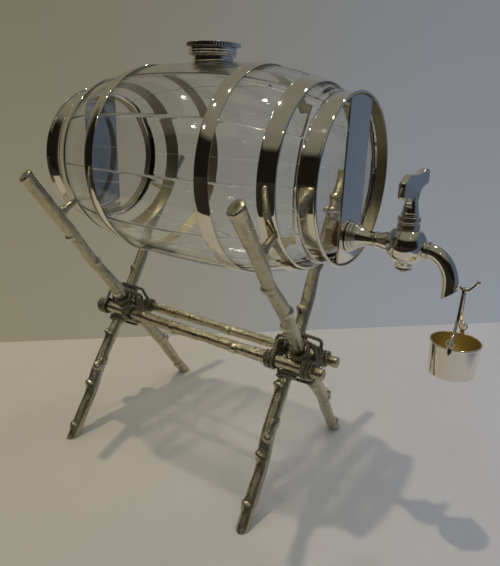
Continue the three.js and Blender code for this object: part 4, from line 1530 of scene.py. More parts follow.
@dataclass
class BucketAndBail:
    """The spirit measure: bail, bucket and the eyes that the bail's ends pass through."""

    tap: Tap
    bail_radius: float = 0.9
    drop: float = 26.4
    bail_shares: tuple = ((0.13, 0.11), (0.17, 0.34), (0.23, 0.55), (0.38, 0.735), (0.59, 0.925), (0.77, 1))
    arch_turns: tuple[float, ...] = (120, 90, 60)
    rim_radius: float = 14.2
    taper: float = 1.2
    height: float = 19.6
    wall: float = 0.8
    foot_hollow: float = 0.35
    foot_ring: Pair = (2.2, 1.8)
    rim_low: float = 1.0
    rim_high: float = 0.6
    rim_roll: float = 0.12
    rim_below: float = 3.7
    ear_play: float = 0.6
    ear_wall: float = 1.2
    ear_thickness: float = 1.1
    ear_shank: float = 1.9
    ear_twist: float = 0.2
    ear_wire_share: float = 0.84
    ear_reach: float = 4.2

    def __post_init__(self) -> None:
        """Works out the shared places."""
        tap = self.tap
        self.saddle = np.array([tap.x + tap.hook_x + tap.hook_shares[2][0] * tap.hook_reach, 0,
                                tap.middle[2] - tap.saddle_below])
        self.ears = self.saddle - (0, 0, self.drop)
        self.ear_y = self.rim_radius + GAP
        self.end_y = self.ear_y + self.ear_thickness + 2 * self.bail_radius
        self.finish = tap.cask.finishes.plate

    def bail(self) -> None:
        """A round wire over the hook, drawn in to a wishbone and turned out through the eyes at its ends."""
        top = self.tap.hook_radius + GAP + self.bail_radius
        side = [[top, 0]] + [[a * self.end_y, -b * self.drop] for a, b in self.bail_shares]
        side += [[self.end_y - 2 * self.bail_radius, -self.drop], [self.end_y, -self.drop]]
        side = np.array(side)
        turn = np.radians(self.arch_turns)
        arch = np.column_stack([top * np.cos(turn), top * np.sin(turn)])
        flat = np.concatenate([side[::-1] * (-1, 1), arch, side])
        keys = np.column_stack([np.zeros(len(flat)), flat])
        line = route(keys + self.saddle, 0.45)
        length = np.linspace(0, 1, len(line))
        end = np.minimum(length, 1 - length) * 0.45 * len(line)
        radius = self.bail_radius * np.sqrt(np.clip(1 - (1 - np.minimum(end / 0.8, 1)) ** 2, 0.02, 1))
        dress(skin(capped(tube(line, radius, 20))), "bucket_bail", self.finish, 60)

    def bucket(self) -> None:
        """A thin tapered bucket with a rolled rim, a flat foot with a fine ring, and a gilt inside."""
        rim_z = -self.rim_below
        base_z = rim_z - self.height
        foot, inner = self.rim_radius - self.taper, self.rim_radius - self.wall
        bottom, floor, (ring_in, ring_out) = base_z + self.foot_hollow, base_z + self.wall, self.foot_ring
        profile = rounded(np.array([
            [bottom, 0], [bottom, foot - ring_in], [base_z, foot - ring_out], [base_z, foot],
            [rim_z - self.rim_low, self.rim_radius - self.rim_roll], [rim_z - self.rim_high, self.rim_radius],
            [rim_z, self.rim_radius], [rim_z, inner], [floor, foot - self.wall], [floor, 0],
        ]), [0, 0.2, 0.2, 0.5, 0.1, 0.2, 0.35, 0.3, 1.2, 0], 7)
        made = skin(turned(profile, Axis.Z, 144, self.ears))
        points, facing = corners_mm(made) - self.ears, normals(made)
        radius = np.hypot(points[:, 0], points[:, 1])
        outward = np.sum(points[:, :2] * facing[:, :2], axis=1) / np.maximum(radius, 1e-6)
        wall_mid = foot + self.taper * (points[:, 2] - base_z) / self.height - self.wall / 2
        lined = (radius < wall_mid) & (points[:, 2] > base_z + self.wall / 2 + 0.1) & (outward < 0.5)
        store(made, "inside", lined)
        dress(made, "bucket", self.tap.cask.finishes.gilt_lined)

    def ear(self, side: int, name: str) -> None:
        """An eye of two twisted wires on a leaf-shaped tab.

        The eye's wire is two-lobed, r (1 + twist cos 2(a - 5 t)) at angle a round the wire and t round the
        eye.

        Args:
            side: 1 for the far side, -1 for the near side.
            name: Its CAD node.
        """
        major = self.bail_radius + self.ear_play + self.ear_wall / 2
        minor = self.ear_thickness / 2
        t = circle(96)[:, None]
        a = circle(24)[None, :]
        wire = minor * self.ear_wire_share * (1 + self.ear_twist * np.cos(2 * a - 10 * t))
        y = self.ear_y + minor
        ring = np.stack([(major + wire * np.cos(a)) * np.cos(t), side * (y + wire * np.sin(a)),
                         (major + wire * np.cos(a)) * np.sin(t)], axis=2)
        made = skin(ring + self.ears, True)
        share = np.linspace(0, 1, 12)
        low, high = -self.rim_below - self.ear_reach, -major
        half = self.ear_shank * np.sqrt(np.clip(1 - (1 - share) ** 4, 0, 1)) * (1 - 0.35 * share)
        turn = circle(24)
        rings = np.stack([np.stack([w * np.cos(turn), side * (self.ear_y + minor * 0.7 * (1 + np.sin(turn))),
                                    np.full(24, z)], axis=1)
                          for w, z in zip(np.maximum(half, 0.05), low + (high - low) * share)])
        combined(made, skin(capped(rings) + self.ears), Cut.JOIN)
        tidy_mesh(made.data)
        dress(made, name, self.finish, 60)

    def build(self) -> None:
        """Makes the bail, the bucket and its ears."""
        self.bail()
        self.bucket()
        self.ear(1, "ear_far")
        self.ear(-1, "ear_near")


# The stand


@dataclass
class Node:
    """A knot on a twig.

    Attributes:
        along: Distance from the twig's start.
        turn: Angle round the twig of its bud, in degrees.
        bud: How far the bud stands out.
        ring: How far the ring swells on the bud's side.
    """

    along: float
    turn: float
    bud: float
    ring: float = 0.32


@dataclass
class Bend:
    """A soft bow of a twig to one side.

    Attributes:
        along: Distance of its middle from the twig's start.
        turn: Angle round the twig of the side it bows to, in degrees.
        amount: How far it bows.
        width: Distance over which it falls off.
    """

    along: float
    turn: float
    amount: float
    width: float


def bark(along: Array, turn: Array, seed: float) -> Array:
    """Low relief of bark, about -1 to 1.

    A sum of waves round the twig whose phase drifts along it, and shorter waves along it.

    Args:
        along: Distance along the twig, in millimetres.
        turn: Angle round it.
        seed: Shifts the pattern from one twig to the next.

    Returns:
        The relief.
    """
    drift = 1.3 * np.sin(along / 17 + seed) + 0.8 * np.sin(along / 7.3 + 2 * seed)
    return (0.45 * np.sin(3 * turn + drift + seed) + 0.3 * np.sin(5 * turn - 1.7 * drift + 2 * seed)
            + 0.2 * np.sin(11 * turn + 2.3 * drift) * np.sin(along / 5.1 + 3 * seed)
            + 0.25 * np.sin(along / 4.1 + np.cos(turn + seed)))


@dataclass
class Twig:
    """A twig on a straight line: its thickness, knots and side shoots.

    Attributes:
        start: The line's start.
        way: Unit direction of the line.
        length: Length of the twig.
        radii: Radius at the start and at the end.
        nodes: Its knots.
        bends: Its bows.
        quiet: Distances from the start where it is bound and keeps its plain round shape.
        shoots: Side shoots as start, direction, reach, radius and tip radius.
        level_start: True to cut the start level, as a foot on the floor.
        slant: How much shorter one side of the far end is cut.
        slant_turn: Angle round the twig of that side, in degrees.
        flare: How far the far end widens.
        flare_reach: Distance over which it widens.
        knot_rise: Distance over which a knot swells on its lower side.
        knot_drop: Distance over which it falls off above.
        cut_reach: Distance over which the slant of the far end is taken up.
        bud_length: Half length of a bud.
        crease_past: How far past a knot its crease lies.
        crease_width: Half width of the crease.
        crease_depth: Its depth.
        bark_depth: How high the bark stands.
        root_swell: How far a shoot swells at the stem's surface.
        root_reach: Distance over which it does.
        shoot_ease: Rounding of a shoot's cut end.
        quiet_reach: How far from a quiet place the plain shape goes.
        seed: Shifts the bark pattern.
        ease: How far the ends' edges are eased.
    """

    start: Array
    way: Array
    length: float
    radii: Pair
    nodes: Sequence[Node]
    bends: Sequence[Bend] = ()
    quiet: Sequence[float] = ()
    shoots: Sequence[tuple[Array, Array, float, float, float]] = ()
    level_start: bool = False
    slant: float = 0.0
    slant_turn: float = 0.0
    flare: float = 0.7
    flare_reach: float = 6.0
    knot_rise: float = 5.0
    knot_drop: float = 1.4
    cut_reach: float = 9.0
    bud_length: float = 2.7
    crease_past: float = 1.9
    crease_width: float = 0.6
    crease_depth: float = 0.25
    bark_depth: float = 0.1
    root_swell: float = 1.1
    root_reach: float = 2.6
    shoot_ease: float = 0.5
    quiet_reach: float = 13.0
    seed: float = 0.0
    ease: float = 0.7

    def stem(self) -> Piece:
        """The bare stem as a tube. A level start slides each side of its first rings down to the floor.

        Returns:
            The stem.
        """
        first, second = square_to(self.way)
        turn = circle(40)
        out = first * np.cos(turn)[:, None] + second * np.sin(turn)[:, None]
        share = np.linspace(0, 1, int(self.length / 1.2))
        radius = np.interp(share, [0, 1], self.radii)
        from_cut = 1 - share if self.level_start else np.minimum(share, 1 - share)
        rim = np.minimum(1, from_cut * self.length / self.ease)
        radius = radius - self.ease * edge_drop(rim)
        slide = -radius[0] * out[:, 2] / max(self.way[2], 1e-6) if self.level_start else np.zeros(len(turn))
        along = share[:, None] * self.length + slide[None, :] * (1 - share[:, None]) ** 12
        return skin(capped(self.start + along[:, :, None] * self.way + radius[:, None, None] * out))

    def shoot(self, base: Array, way: Array, reach: float, radius: float, tip: float) -> Piece:
        """A pruned side shoot that swells where it leaves the stem.

        Args:
            base: Its start, on the stem's line.
            way: Its direction.
            reach: Its length.
            radius: Its radius at the stem.
            tip: Its radius at the cut.

        Returns:
            The shoot.
        """
        way = way / np.linalg.norm(way)
        share = np.linspace(0, 1, 30)
        along = share * reach
        swell = self.root_swell * bell(along - self.radii[0], self.root_reach)
        eased = self.shoot_ease * edge_drop(np.minimum(1, (reach - along) / self.shoot_ease))
        thick = radius + (tip - radius) * share + swell - eased
        return skin(capped(tube(base + along[:, None] * way, thick, 28)))

    def make(self) -> Piece:
        """Joins stem and shoots, evens the mesh out and raises knots, buds and bark on it.

        A knot is a swelling on one side that rises slowly from below and drops quickly above, a bud on it and
        a crease just past it. The twig's thickness drifts by two slow waves and flares at its far end. All of
        it moves corners along their normals. Each bend then shifts corners by a bell curve of the distance.

        Returns:
            The finished twig.
        """
        made = self.stem()
        for shoot in self.shoots:
            combined(made, self.shoot(*shoot), Cut.JOIN)
        remesh = made.modifiers.new("even", "REMESH")
        remesh.mode = "VOXEL"
        remesh.voxel_size = 0.55 * MM
        soften = made.modifiers.new("soften", "SMOOTH")
        soften.iterations = 4
        soften.factor = 0.5
        apply_modifiers(made)
        points, out = corners_mm(made), normals(made)
        first, second = square_to(self.way)
        from_start = points - self.start
        along, distance = from_start @ self.way, np.hypot(from_start @ first, from_start @ second)
        side = np.arctan2(from_start @ second, from_start @ first)
        lift, hollow = np.zeros(len(points)), np.zeros(len(points))
        for node in self.nodes:
            around = np.cos(side - math.radians(node.turn))
            off = along - node.along - 1.1 * around
            width = np.where(off < 0, self.knot_rise, self.knot_drop)
            swell = bell(off, width) * (0.4 + 0.6 * around)
            bud = np.exp(-((off + 1.0) / self.bud_length) ** 2 + 2.2 * (around - 1))
            crease = bell(off - self.crease_past, self.crease_width) * (0.4 + 0.4 * around)
            lift += node.ring * swell + node.bud * bud - self.crease_depth * crease
            hollow += 0.85 * crease + 0.4 * np.exp(-((off + 3.4) / 0.9) ** 2 + 1.8 * (around - 1))
        left = self.length - along
        drift = 0.3 * np.sin(along / 13.5 + 2 * self.seed) + 0.16 * np.sin(along / 5.7 + self.seed)
        lift += drift + self.flare * bell(np.maximum(left, 0), self.flare_reach)
        near_bound = np.abs(along[:, None] - np.array([*self.quiet, -1e3])[None]).min(axis=1)
        calm = np.clip((near_bound - self.quiet_reach + 4) / 4, 0, 1)
        calm = calm * np.clip((self.radii[0] + 3.4 - distance) / 1.5, 0, 1)
        skin_relief = bark(along, side, self.seed)
        lift = lift * calm + self.bark_depth * skin_relief * np.clip(calm, 0.35, 1)
        ends = np.minimum(along if not self.level_start else self.length, left)
        on_cut = (ends < 0.55) & (np.abs(out @ self.way) > 0.6)
        hollow += on_cut * np.clip(0.8 - distance / (self.radii[1] * 0.8), 0, 0.55)
        lift = np.where(on_cut, -0.25 * np.clip(1 - distance / (self.radii[1] * 0.75), 0, 1), lift)
        points = points + out * lift[:, None]
        toward = np.cos(side - math.radians(self.slant_turn)) * distance / self.radii[1]
        slide = self.slant * np.clip((1 + toward) / 2, 0, 1.2) * np.clip(1 - left / self.cut_reach, 0, 1)
        points -= slide[:, None] * self.way
        for bend in self.bends:
            turn = math.radians(bend.turn)
            share = bend.amount * bell(along - bend.along, bend.width)
            points += share[:, None] * (first * math.cos(turn) + second * math.sin(turn))
        if self.level_start:
            points[:, 2] = np.maximum(points[:, 2], 0)
        move_corners(made, points)
        store(made, "hollow", np.clip(hollow * calm + 0.3 * np.clip(-skin_relief - 0.35, 0, 1), 0, 0.95))
        store(made, "crest", np.clip(lift - 0.2, 0, 1))
        return made


@dataclass
class Stand:
    """Four twig legs in two crossings, two bars and the wire lashings that bind them."""

    cask: Cask
    leg_radius: float = 4.6
    leg_taper: float = 0.3
    foot_y: float = 69.2
    leg_height: float = 211.0
    from_cask: float = 18.5
    near_tilt: float = math.radians(1.5)
    far_tilt: float = math.radians(-5.8)
    stand_shift: float = -4.0
    spur_radius: float = 3.1
    spur_tip: float = 2.2
    spur_from_top: float = 38.9
    stub_radius: float = 2.4
    stub_tip: float = 1.8
    stub_reach: float = 7.2
    bar_radii: Pair = (4.2, 3.5)
    bar_past: Pair = (21.6, 25.6)
    slant: float = 3.2
    bar_nodes: tuple = (
        (Node(53.5, -60, 1.5), Node(84, 150, 0.8), Node(108, 230, 1.0), Node(143.5, 100, 1.5),
         Node(168, 250, 0.7), Node(3.5, 200, 0.5), Node(206, 230, 0.6)),
        (Node(67, 200, 0.8), Node(93.5, 250, 1.2), Node(121, 120, 0.7), Node(151.5, 240, 1.9),
         Node(4, 60, 0.5)),
    )
    leg_nodes: dict = field(default_factory=lambda: {
        (-1, 1): (Node(9, -51, 1.2), Node(53.5, -45, 1.5), Node(82, 120, 0.9), Node(159, 125, 1.2),
                  Node(172.5, -60, 1.1), Node(199.5, 140, 1.3, 0.6), Node(236, 100, 0.5, 0.3)),
        (-1, -1): (Node(16, 200, 1.3), Node(61, -40, 1.2), Node(90, 120, 0.8), Node(136, 150, 1.5),
                   Node(174, -55, 1.1), Node(205.5, 150, 1.6, 0.5), Node(240, 60, 0.5, 0.3)),
        (1, 1): (Node(14, 125, 1.2), Node(45, 140, 1.6, 0.5), Node(69, -50, 0.9), Node(93, 130, 2.2, 0.5),
                 Node(148.5, 130, 1.7), Node(185, -40, 1.0), Node(240, 120, 0.8)),
        (1, -1): (Node(8, 125, 1.3), Node(42.5, 130, 1.7, 0.5), Node(64, -60, 0.9), Node(87, 130, 2.0, 0.5),
                  Node(147, 120, 1.6), Node(182, -60, 1.0), Node(238, 140, 0.9)),
    })
    leg_bends: dict = field(default_factory=lambda: {
        (-1, 1): (Bend(62, -50, 1.6, 20), Bend(171, -50, 1.1, 14), Bend(205, 130, 0.9, 10)),
        (-1, -1): (Bend(58, -50, 1.4, 20), Bend(178, 130, 1.2, 15)),
        (1, 1): (Bend(66, 130, 1.2, 24), Bend(38, -50, 1.0, 12), Bend(180, 120, 1.2, 18)),
        (1, -1): (Bend(62, 130, 1.0, 24), Bend(36, -50, 1.0, 12), Bend(176, 120, 1.0, 18)),
    })
    wire_radius: float = 1.2
    wire_between: float = 0.65
    wire_corner: float = 4.0
    wire_start_y: float = 3.0
    frap_turns: int = 3
    coil_turns: float = 2.2
    leg_coil_at: float = 13.3
    bar_coil_at: float = 15.0
    strands: int = 3
    strand_radius: float = 0.62
    strand_offset: float = 0.66
    strand_pitch: float = 7.5

    def __post_init__(self) -> None:
        """Works out how far the legs lean and where they cross."""
        self.hoop_x = self.cask.half_length - self.cask.outer_hoop[0]
        height = self.cask.axis_height
        from_axis = float(self.cask.belly(np.array(self.hoop_x))) + self.from_cask
        lean = math.asin(from_axis / math.hypot(self.foot_y, height))
        self.angle = math.atan2(self.foot_y, height) + lean
        self.cross_height = self.foot_y / math.tan(self.angle)
        self.cross_along = self.cross_height / math.cos(self.angle)
        self.leg_length = self.leg_height / math.cos(self.angle)
        self.slopes = {-1: math.tan(self.near_tilt), 1: math.tan(self.far_tilt)}
        twist = math.atan2((self.slopes[-1] - self.slopes[1]) / 2, math.tan(self.angle))
        self.leg_shift = (self.leg_radius + GAP / 2) / math.cos(twist)
        self.crossing_x = {1: self.hoop_x + self.stand_shift, -1: self.stand_shift - self.hoop_x}
        self.bar_y = tuple((self.leg_radius + radius + GAP) / math.cos(self.angle)
                           for radius in self.bar_radii)

    def leg(self, side: int, end: int, name: str) -> None:
        """A leg from its level foot to its pruned top, with the spur under the cask and a stub low down.

        It is made upright in x and then sheared to its tilt, x + slope z.

        Args:
            side: -1 if its top leans to the near side, 1 to the far side.
            end: 1 at the tap's end, -1 at the back end.
            name: Its CAD node.
        """
        slope = self.slopes[side]
        x = self.crossing_x[end] - side * self.leg_shift - slope * self.cross_height
        start = np.array([x, -side * self.foot_y, 0])
        way = np.array([0, side * math.sin(self.angle), math.cos(self.angle)])
        spur_base = start + way * (self.leg_length - self.spur_from_top)
        to_axis = np.array([x, 0, self.cask.axis_height]) - spur_base
        rest = float(self.cask.belly(np.array(x + slope * spur_base[2]))) + 2 * GAP + self.cask.hoop_wall
        spur_reach = float(np.linalg.norm(to_axis)) - rest
        stub_base = start + way * self.cross_along / 2
        stub_way = np.array([self.stub_tip, -side * self.stub_radius, self.stub_radius])
        spur_along = self.leg_length - self.spur_from_top
        twig = Twig(start, way, self.leg_length, (self.leg_radius, self.leg_radius - self.leg_taper),
                    self.leg_nodes[side, end], self.leg_bends[side, end], (self.cross_along, spur_along),
                    [(spur_base, to_axis, spur_reach, self.spur_radius, self.spur_tip),
                     (stub_base, stub_way, self.stub_reach, self.stub_radius, self.stub_tip)],
                    True, self.slant, 129 if side < 0 else 51, flare=1.0, seed=1.7 * side + 2.9 * end)
        made = twig.make()
        points = corners_mm(made)
        points[:, 0] += slope * points[:, 2]
        move_corners(made, points)
        dress(made, name, self.cask.finishes.twig, 70)

    def bar(self, which: int, name: str) -> None:
        """A bar from end to end of the stand, lying in the crossings.

        Args:
            which: 0 for the near one, 1 for the far one.
            name: Its CAD node.
        """
        past_back, past_tap = self.bar_past
        start = self.crossing_x[-1] - past_back
        length = self.crossing_x[1] + past_tap - start
        y = self.bar_y[which] * (-1, 1)[which]
        radius = self.bar_radii[which]
        twig = Twig(np.array([start, y, self.cross_height]), np.array([1.0, 0, 0]), length, (radius, radius),
                    self.bar_nodes[which], (), (past_back, length - past_tap), flare=0.3, quiet_reach=17,
                    seed=4.1 + which)
        dress(twig.make(), name, self.cask.finishes.twig, 70)

    def notch_height(self, y: Array) -> Array:
        """Height of a wire in the notch between the legs, y away from the crossing."""
        clear = self.leg_radius + self.wire_radius + GAP + np.abs(y) * math.cos(self.angle)
        return clear / math.sin(self.angle)

    def bar_loop(self, side: int, loop_x: float, frap_x: float, frap_y: float) -> list[list[float]]:
        """Key points from a wire end on one face of the crossing, round both bars and up to the notch.

        Args:
            side: 1 for the face at the greater x.
            loop_x: Distance of the loop from the crossing's middle.
            frap_x: Distance of the first turn round the crossing.
            frap_y: Where the turns round the crossing start.

        Returns:
            The key points.
        """
        seat = self.wire_radius + GAP
        bars = [(-self.bar_y[0], self.bar_radii[0] + seat), (self.bar_y[1], self.bar_radii[1] + seat)]
        (first_y, first_reach), (last_y, last_reach) = bars if side > 0 else bars[::-1]
        level = (first_reach + last_reach) / 2
        keys = [[loop_x, self.wire_start_y, level], [loop_x, 0, level]]
        for middle, reach, turns in ((first_y, first_reach, range(90, 271, 30)),
                                     (last_y, last_reach, range(-90, 61, 30))):
            for turn in turns:
                angle = math.radians(turn)
                keys.append([loop_x, side * middle + reach * math.cos(angle), reach * math.sin(angle)])
        top = float(self.notch_height(np.array(frap_y)))
        keys.append([(loop_x + frap_x) / 2, (frap_y + side * last_y) / 2,
                     (level + top) / 2 - self.wire_radius])
        return [[side * x, side * y, z] for x, y, z in keys]

    def lashing_line(self) -> Array:
        """The wire's route: round both bars, through the crossing's notches, and round both bars again.

        Returns:
            The route's points, from the crossing.
        """
        seat = self.wire_radius + GAP
        pitch = 2 * self.wire_radius + self.wire_between
        tilt_room = (self.bar_radii[0] + seat) * abs(self.slopes[1])
        loop_x = self.leg_shift + self.leg_radius + seat + tilt_room
        frap_x = loop_x + pitch
        frap_y = (self.frap_turns + 0.5) * pitch / 2
        corners = [(1, 1, 0), (-1, 1, 90), (-1, -1, 180), (1, -1, 270)]
        total = self.frap_turns * len(corners) + 2
        keys = self.bar_loop(1, loop_x, frap_x, frap_y)
        for i in range(total):
            side_x, side_z, start = corners[i % len(corners)]
            for share in (0, 0.5, 1):
                y = frap_y * (1 - 2 * (i + share) / total)
                angle = math.radians(start + 90 * share)
                height = float(self.notch_height(np.array(y)))
                keys.append([side_x * (frap_x - self.wire_corner) + self.wire_corner * math.cos(angle), y,
                             side_z * (height - self.wire_corner) + self.wire_corner * math.sin(angle)])
        keys += self.bar_loop(-1, loop_x, frap_x, frap_y)[::-1]
        return route(np.array(keys), 0.4)

    def coil(self, middle: Array, way: Array, radius: float) -> Array:
        """A close coil of rope: a helix round the line through middle along way.

        Args:
            middle: The coil's middle, from the crossing.
            way: Direction of the line.
            radius: Radius of what it is wound on.

        Returns:
            The route's points.
        """
        way = way / np.linalg.norm(way)
        first, second = square_to(way)
        reach = radius + self.wire_radius + GAP
        turn = np.linspace(0, TURN * self.coil_turns, int(TURN * self.coil_turns * reach / 0.45))
        climb = (turn / TURN - self.coil_turns / 2) * 2 * self.wire_radius
        ring = first * np.cos(turn)[:, None] + second * np.sin(turn)[:, None]
        return middle + climb[:, None] * way + reach * ring

    def coils(self) -> list[Array]:
        """Close coils round the four arms of the crossing and round both bars on each side of it.

        Returns:
            One route for each coil.
        """
        found = []
        for side in (-1, 1):
            way = np.array([self.slopes[side], side * math.tan(self.angle), 1.0])
            way /= np.linalg.norm(way)
            for arm in (-1, 1):
                start = np.array([-side * self.leg_shift, 0, 0])
                found.append(self.coil(start + arm * self.leg_coil_at * way, way, self.leg_radius))
        level = np.array([1.0, 0, 0])
        for y, radius in zip((-self.bar_y[0], self.bar_y[1]), self.bar_radii):
            for arm in (-1, 1):
                found.append(self.coil(np.array([arm * self.bar_coil_at, y, 0]), level, radius))
        return found

    def lashing(self, end: int, place: str) -> None:
        """Rope of three strands laid along the wire's route and the coils.

        Strand k lies at angle 2 pi (s / pitch + k / 3) round a route at distance s along it.

        Args:
            end: 1 at the tap's end, -1 at the back end.
            place: The end's name in the node.
        """
        middle = np.array([self.crossing_x[end], 0, self.cross_height])
        made, lines = None, [self.lashing_line(), *self.coils()]
        for line in lines:
            _, across, other = directions(line)
            along = distances(line)
            for k in range(self.strands):
                turn = TURN * (along / self.strand_pitch + k / self.strands)
                out = across * np.cos(turn)[:, None] + other * np.sin(turn)[:, None]
                piece = skin(capped(tube(line + out * self.strand_offset, self.strand_radius, 10)) + middle)
                made = piece if made is None else joined(made, piece)
        nearest = nearest_distance(corners_mm(made) - middle, np.concatenate([line[::2] for line in lines]))
        reach = self.strand_offset + self.strand_radius
        # Darkens each strand where it lies close to the rope's middle, between the strands.
        store(made, "hollow", np.clip((reach * 0.93 - nearest) / (reach * 0.5), 0, 1))
        dress(made, f"lashing_{place}", self.cask.finishes.wire, 70)

    def build(self) -> None:
        """Makes the legs, the bars and the lashings."""
        for end, place in ENDS:
            self.leg(-1, end, f"leg_near_{place}")
            self.leg(1, end, f"leg_far_{place}")
        self.bar(0, "bar_near")
        self.bar(1, "bar_far")
        for end, place in ENDS:
            self.lashing(end, place)


def joined(base: Piece, other: Piece) -> Piece:
    """Puts two meshes into one object without cutting either.

    Args:
        base: The object that stays.
        other: The object whose mesh is added.

    Returns:
        The first object with both meshes.
    """
    work = bmesh.new()
    work.from_mesh(base.data)
    work.from_mesh(other.data)
    work.to_mesh(base.data)
    work.free()
    bpy.data.objects.remove(other)
    return base


def nearest_distance(points: Array, line: Array) -> Array:
    """How near points lie to a line, worked out in slices that fit in memory.

    Args:
        points: The points, one a row.
        line: The line's points.

    Returns:
        Distance from each point to the line's nearest one.
    """
    found = [np.sqrt(((part[:, None] - line[None]) ** 2).sum(axis=2).min(axis=1))
             for part in np.array_split(points, max(1, len(points) // 2000))]
    return np.concatenate(found)


# The studio


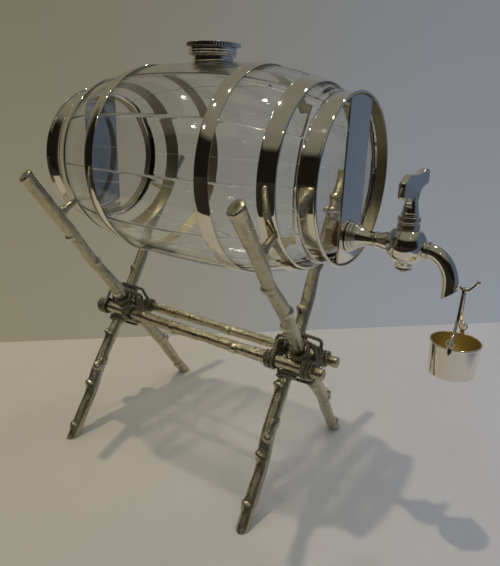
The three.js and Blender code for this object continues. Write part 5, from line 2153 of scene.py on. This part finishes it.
@dataclass
class Studio:
    """Camera, floor, surroundings and lamps, in metres.

    The table's edges and the room's colours by name are what the silver sees. Behind the barrel the camera
    sees the wall.
    """

    eye: tuple[float, float, float] = (0.188286, -0.290700, 0.254409)
    yaw: float = math.radians(-33.453)
    pitch: float = math.radians(-18.546)
    roll: float = math.radians(1.759)
    lens: float = 33.083
    wall_foot: tuple = ((-0.331, -0.005), (0.115, 0.415))
    table_reach: float = 4.0
    table_steps: int = 41
    table_below: float = 0.0002
    table_edge: float = -0.28
    warm_table: tuple = colour(0.408, 0.366, 0.262)
    cool_table: tuple = colour(0.385, 0.385, 0.392)
    # Darker table colour, for random mottle and for the painted shade toward the front.
    mottle_and_shade_table: tuple = colour(0.31, 0.285, 0.225)
    # Painted reflection: near black floor past the front edge, seen only by glossy rays, for the dark room.
    front_room_reflection: tuple = colour(0.012, 0.009, 0.005)
    side_edge: float = 0.32
    # Painted reflection: blue-grey floor past the side edge, seen only by glossy rays.
    side_room_reflection: tuple = colour(0.075, 0.10, 0.155)
    warm_wall: tuple = colour(0.215, 0.196, 0.13)
    cool_wall: tuple = colour(0.233, 0.246, 0.275)
    side_wall: tuple = colour(0.085, 0.115, 0.175)
    dark_room: tuple = colour(0.008, 0.006, 0.004)
    upper_room: tuple = colour(0.15, 0.145, 0.108)
    ceiling: tuple = colour(0.19, 0.185, 0.15)
    plain_light: tuple = colour(0.545, 0.583, 0.655)
    main_lamps: tuple = (
        ("ceiling_lamp", (-0.17, -0.08, 0.98), 0.33, 1.6, (1, 0.88, 0.7)),
        ("second_lamp", (0.12, 0.42, 0.9), 0.07, 4.0, (1, 0.9, 0.75)),
    )
    room_lamps: tuple = ((-0.46, -0.3, 0.84), (-0.52, -0.58, 0.62), (-0.62, -0.1, 0.78), (-0.57, 0.6, 0.56),
                         (0.45, -0.5, 0.74))
    room_lamp_share: float = 0.014
    room_lamp_spread: float = 1.4
    room_lamp_tone: Point = (1, 0.95, 0.85)

    def camera(self) -> None:
        """The camera at the photograph's place, turned by yaw, pitch and roll."""
        ahead = Vector((math.sin(self.yaw) * math.cos(self.pitch), math.cos(self.yaw) * math.cos(self.pitch),
                        math.sin(self.pitch)))
        right = ahead.cross(Vector((0, 0, 1))).normalized()
        up = right.cross(ahead)
        turned_right = math.cos(self.roll) * right + math.sin(self.roll) * up
        turned_up = math.cos(self.roll) * up - math.sin(self.roll) * right
        data = bpy.data.cameras.new("camera")
        data.lens = self.lens
        data.sensor_width = 36
        made = linked("camera", data)
        turned_axes = Matrix((turned_right, turned_up, -ahead)).transposed()
        made.matrix_world = Matrix.Translation(self.eye) @ turned_axes.to_4x4()
        bpy.context.scene.camera = made

    def floor(self) -> None:
        """A pale table top that ends where the wall begins, warmer on the left and cooler on the right, with
        painted shade toward the front and, for glossy rays, painted reflections of the room past its edges.
        """
        first, second = (np.array(point) for point in self.wall_foot)
        along = (second - first) / np.linalg.norm(second - first)
        toward = np.array([along[1], -along[0]])
        grid = np.linspace(-1, 1, self.table_steps)
        side, depth = np.meshgrid(grid * self.table_reach, (grid + 1) / 2 * self.table_reach, indexing="ij")
        middle = (first + second) / 2
        flat = middle + side[:, :, None] * along + depth[:, :, None] * toward
        level = np.full(flat.shape[:2] + (1,), -self.table_below)
        points = np.concatenate([flat, level], axis=2).reshape(-1, 3)
        number = np.arange(self.table_steps ** 2).reshape(self.table_steps, self.table_steps)
        square = [number[:-1, :-1], number[:-1, 1:], number[1:, 1:], number[1:, :-1]]
        faces = np.stack(square, axis=2).reshape(-1, 4)
        mesh = bpy.data.meshes.new("table_top")
        mesh.from_pydata(points.tolist(), [], faces.tolist())
        made = linked("table_top", mesh)
        material, recipe = start_material("pale_table")
        here = recipe.node("ShaderNodeTexCoord", output="Object")
        x, y = recipe.part(here, "X"), recipe.part(here, "Y")
        cool = (x + y * 0.35).ramp(-0.3, 0.26)
        mottle = recipe.noise(60, 3).ramp(0.3, 0.7)
        pale = recipe.mix(cool, self.warm_table, self.cool_table)
        # Random mottle, and painted shade: the table darkens toward the camera.
        shaded = recipe.mix(mottle * 0.1 + y.ramp(0.02, -0.24) * 0.3, pale, self.mottle_and_shade_table)
        # Past the table's front and side edges, glossy rays see painted reflections of the room.
        past_edge = y.ramp(self.table_edge, self.table_edge - 0.01)
        past_side = x.ramp(self.side_edge, self.side_edge + 0.1)
        mirrored = recipe.mix(past_side, shaded, self.side_room_reflection)
        mirrored = recipe.mix(past_edge, mirrored, self.front_room_reflection)
        surface(recipe, {"Base Color": recipe.mix(recipe.ray("Glossy"), shaded, mirrored), "Roughness": 0.6,
                         "Specular IOR Level": 0.25})
        mesh.materials.append(material)

    def surroundings(self) -> None:
        """The room. It shows as a grey wall, and in the silver as a wall, a dark room and an olive ceiling.

        A direction's azimuth is its angle from +Y towards +X. Plain light comes from it evenly.
        """
        world = bpy.data.worlds.new("room")
        bpy.context.scene.world = world
        world.use_nodes = True
        recipe = Recipe(world.node_tree)
        way = recipe.node("ShaderNodeTexCoord", output="Generated")
        x, y, z = (recipe.part(way, axis) for axis in "XYZ")
        azimuth = x.math("ARCTAN2", x, y)
        cool = azimuth.ramp(-1.05, -0.1)
        wall = recipe.mix(cool, self.warm_wall, self.cool_wall)
        at_side = azimuth.ramp(0.0, 0.45) * (1 - azimuth.ramp(1.9, 2.6))
        wall = recipe.mix(at_side, wall, self.side_wall)
        low_light = z.ramp(-0.45, 0.25, 1.16, 0.89)
        grey = recipe.node("ShaderNodeCombineXYZ", values={0: low_light, 1: low_light, 2: low_light})
        wall = recipe.mix(1.0, wall, grey, "MULTIPLY")
        dark = recipe.mix(z.ramp(0.48, 0.6), self.dark_room, self.upper_room)
        room = recipe.mix(y.ramp(0.05, -0.35), wall, dark)
        seen = recipe.mix(z.ramp(0.55, 0.85), room, self.ceiling)
        shown = recipe.ray("Camera") + recipe.ray("Glossy") + recipe.ray("Transmission")
        light = recipe.mix(shown, self.plain_light, seen)
        background = recipe.node("ShaderNodeBackground", values={"Color": light, "Strength": 1.0})
        recipe.node("ShaderNodeOutputWorld", values={"Surface": background})

    def lamp(self, name: str, way: Point, share: float, spread_degrees: float, tone: Point) -> None:
        """A far lamp.

        Args:
            name: Its name.
            way: Direction from the object to the lamp.
            share: Light that it gives a level white surface under it, where 1 shows as white.
            spread_degrees: How wide it looks.
            tone: Its colour.
        """
        data = bpy.data.lights.new(name, "SUN")
        data.energy = share * math.pi
        data.angle = math.radians(spread_degrees)
        data.color = tone
        made = linked(name, data)
        made.rotation_euler = Vector(way).normalized().to_track_quat("Z", "Y").to_euler()

    def build(self) -> None:
        """Sets up the whole studio."""
        bpy.context.scene.view_settings.view_transform = "Standard"
        self.camera()
        self.floor()
        self.surroundings()
        for lamp in self.main_lamps:
            self.lamp(*lamp)
        for number, way in enumerate(self.room_lamps):
            self.lamp(f"room_lamp_{number}", way, self.room_lamp_share, self.room_lamp_spread,
                      self.room_lamp_tone)


def main() -> None:
    """Builds the studio and the barrel, and reports each piece."""
    logging.basicConfig(level=logging.INFO, format="%(message)s")
    Studio().build()
    finishes = Finishes()
    cask = Cask(finishes)
    cask.build()
    NeckAndCap(cask).build()
    tap = Tap(cask)
    tap.build()
    Key(tap).build()
    BucketAndBail(tap).build()
    Stand(cask).build()


if __name__ == "__main__":
    main()
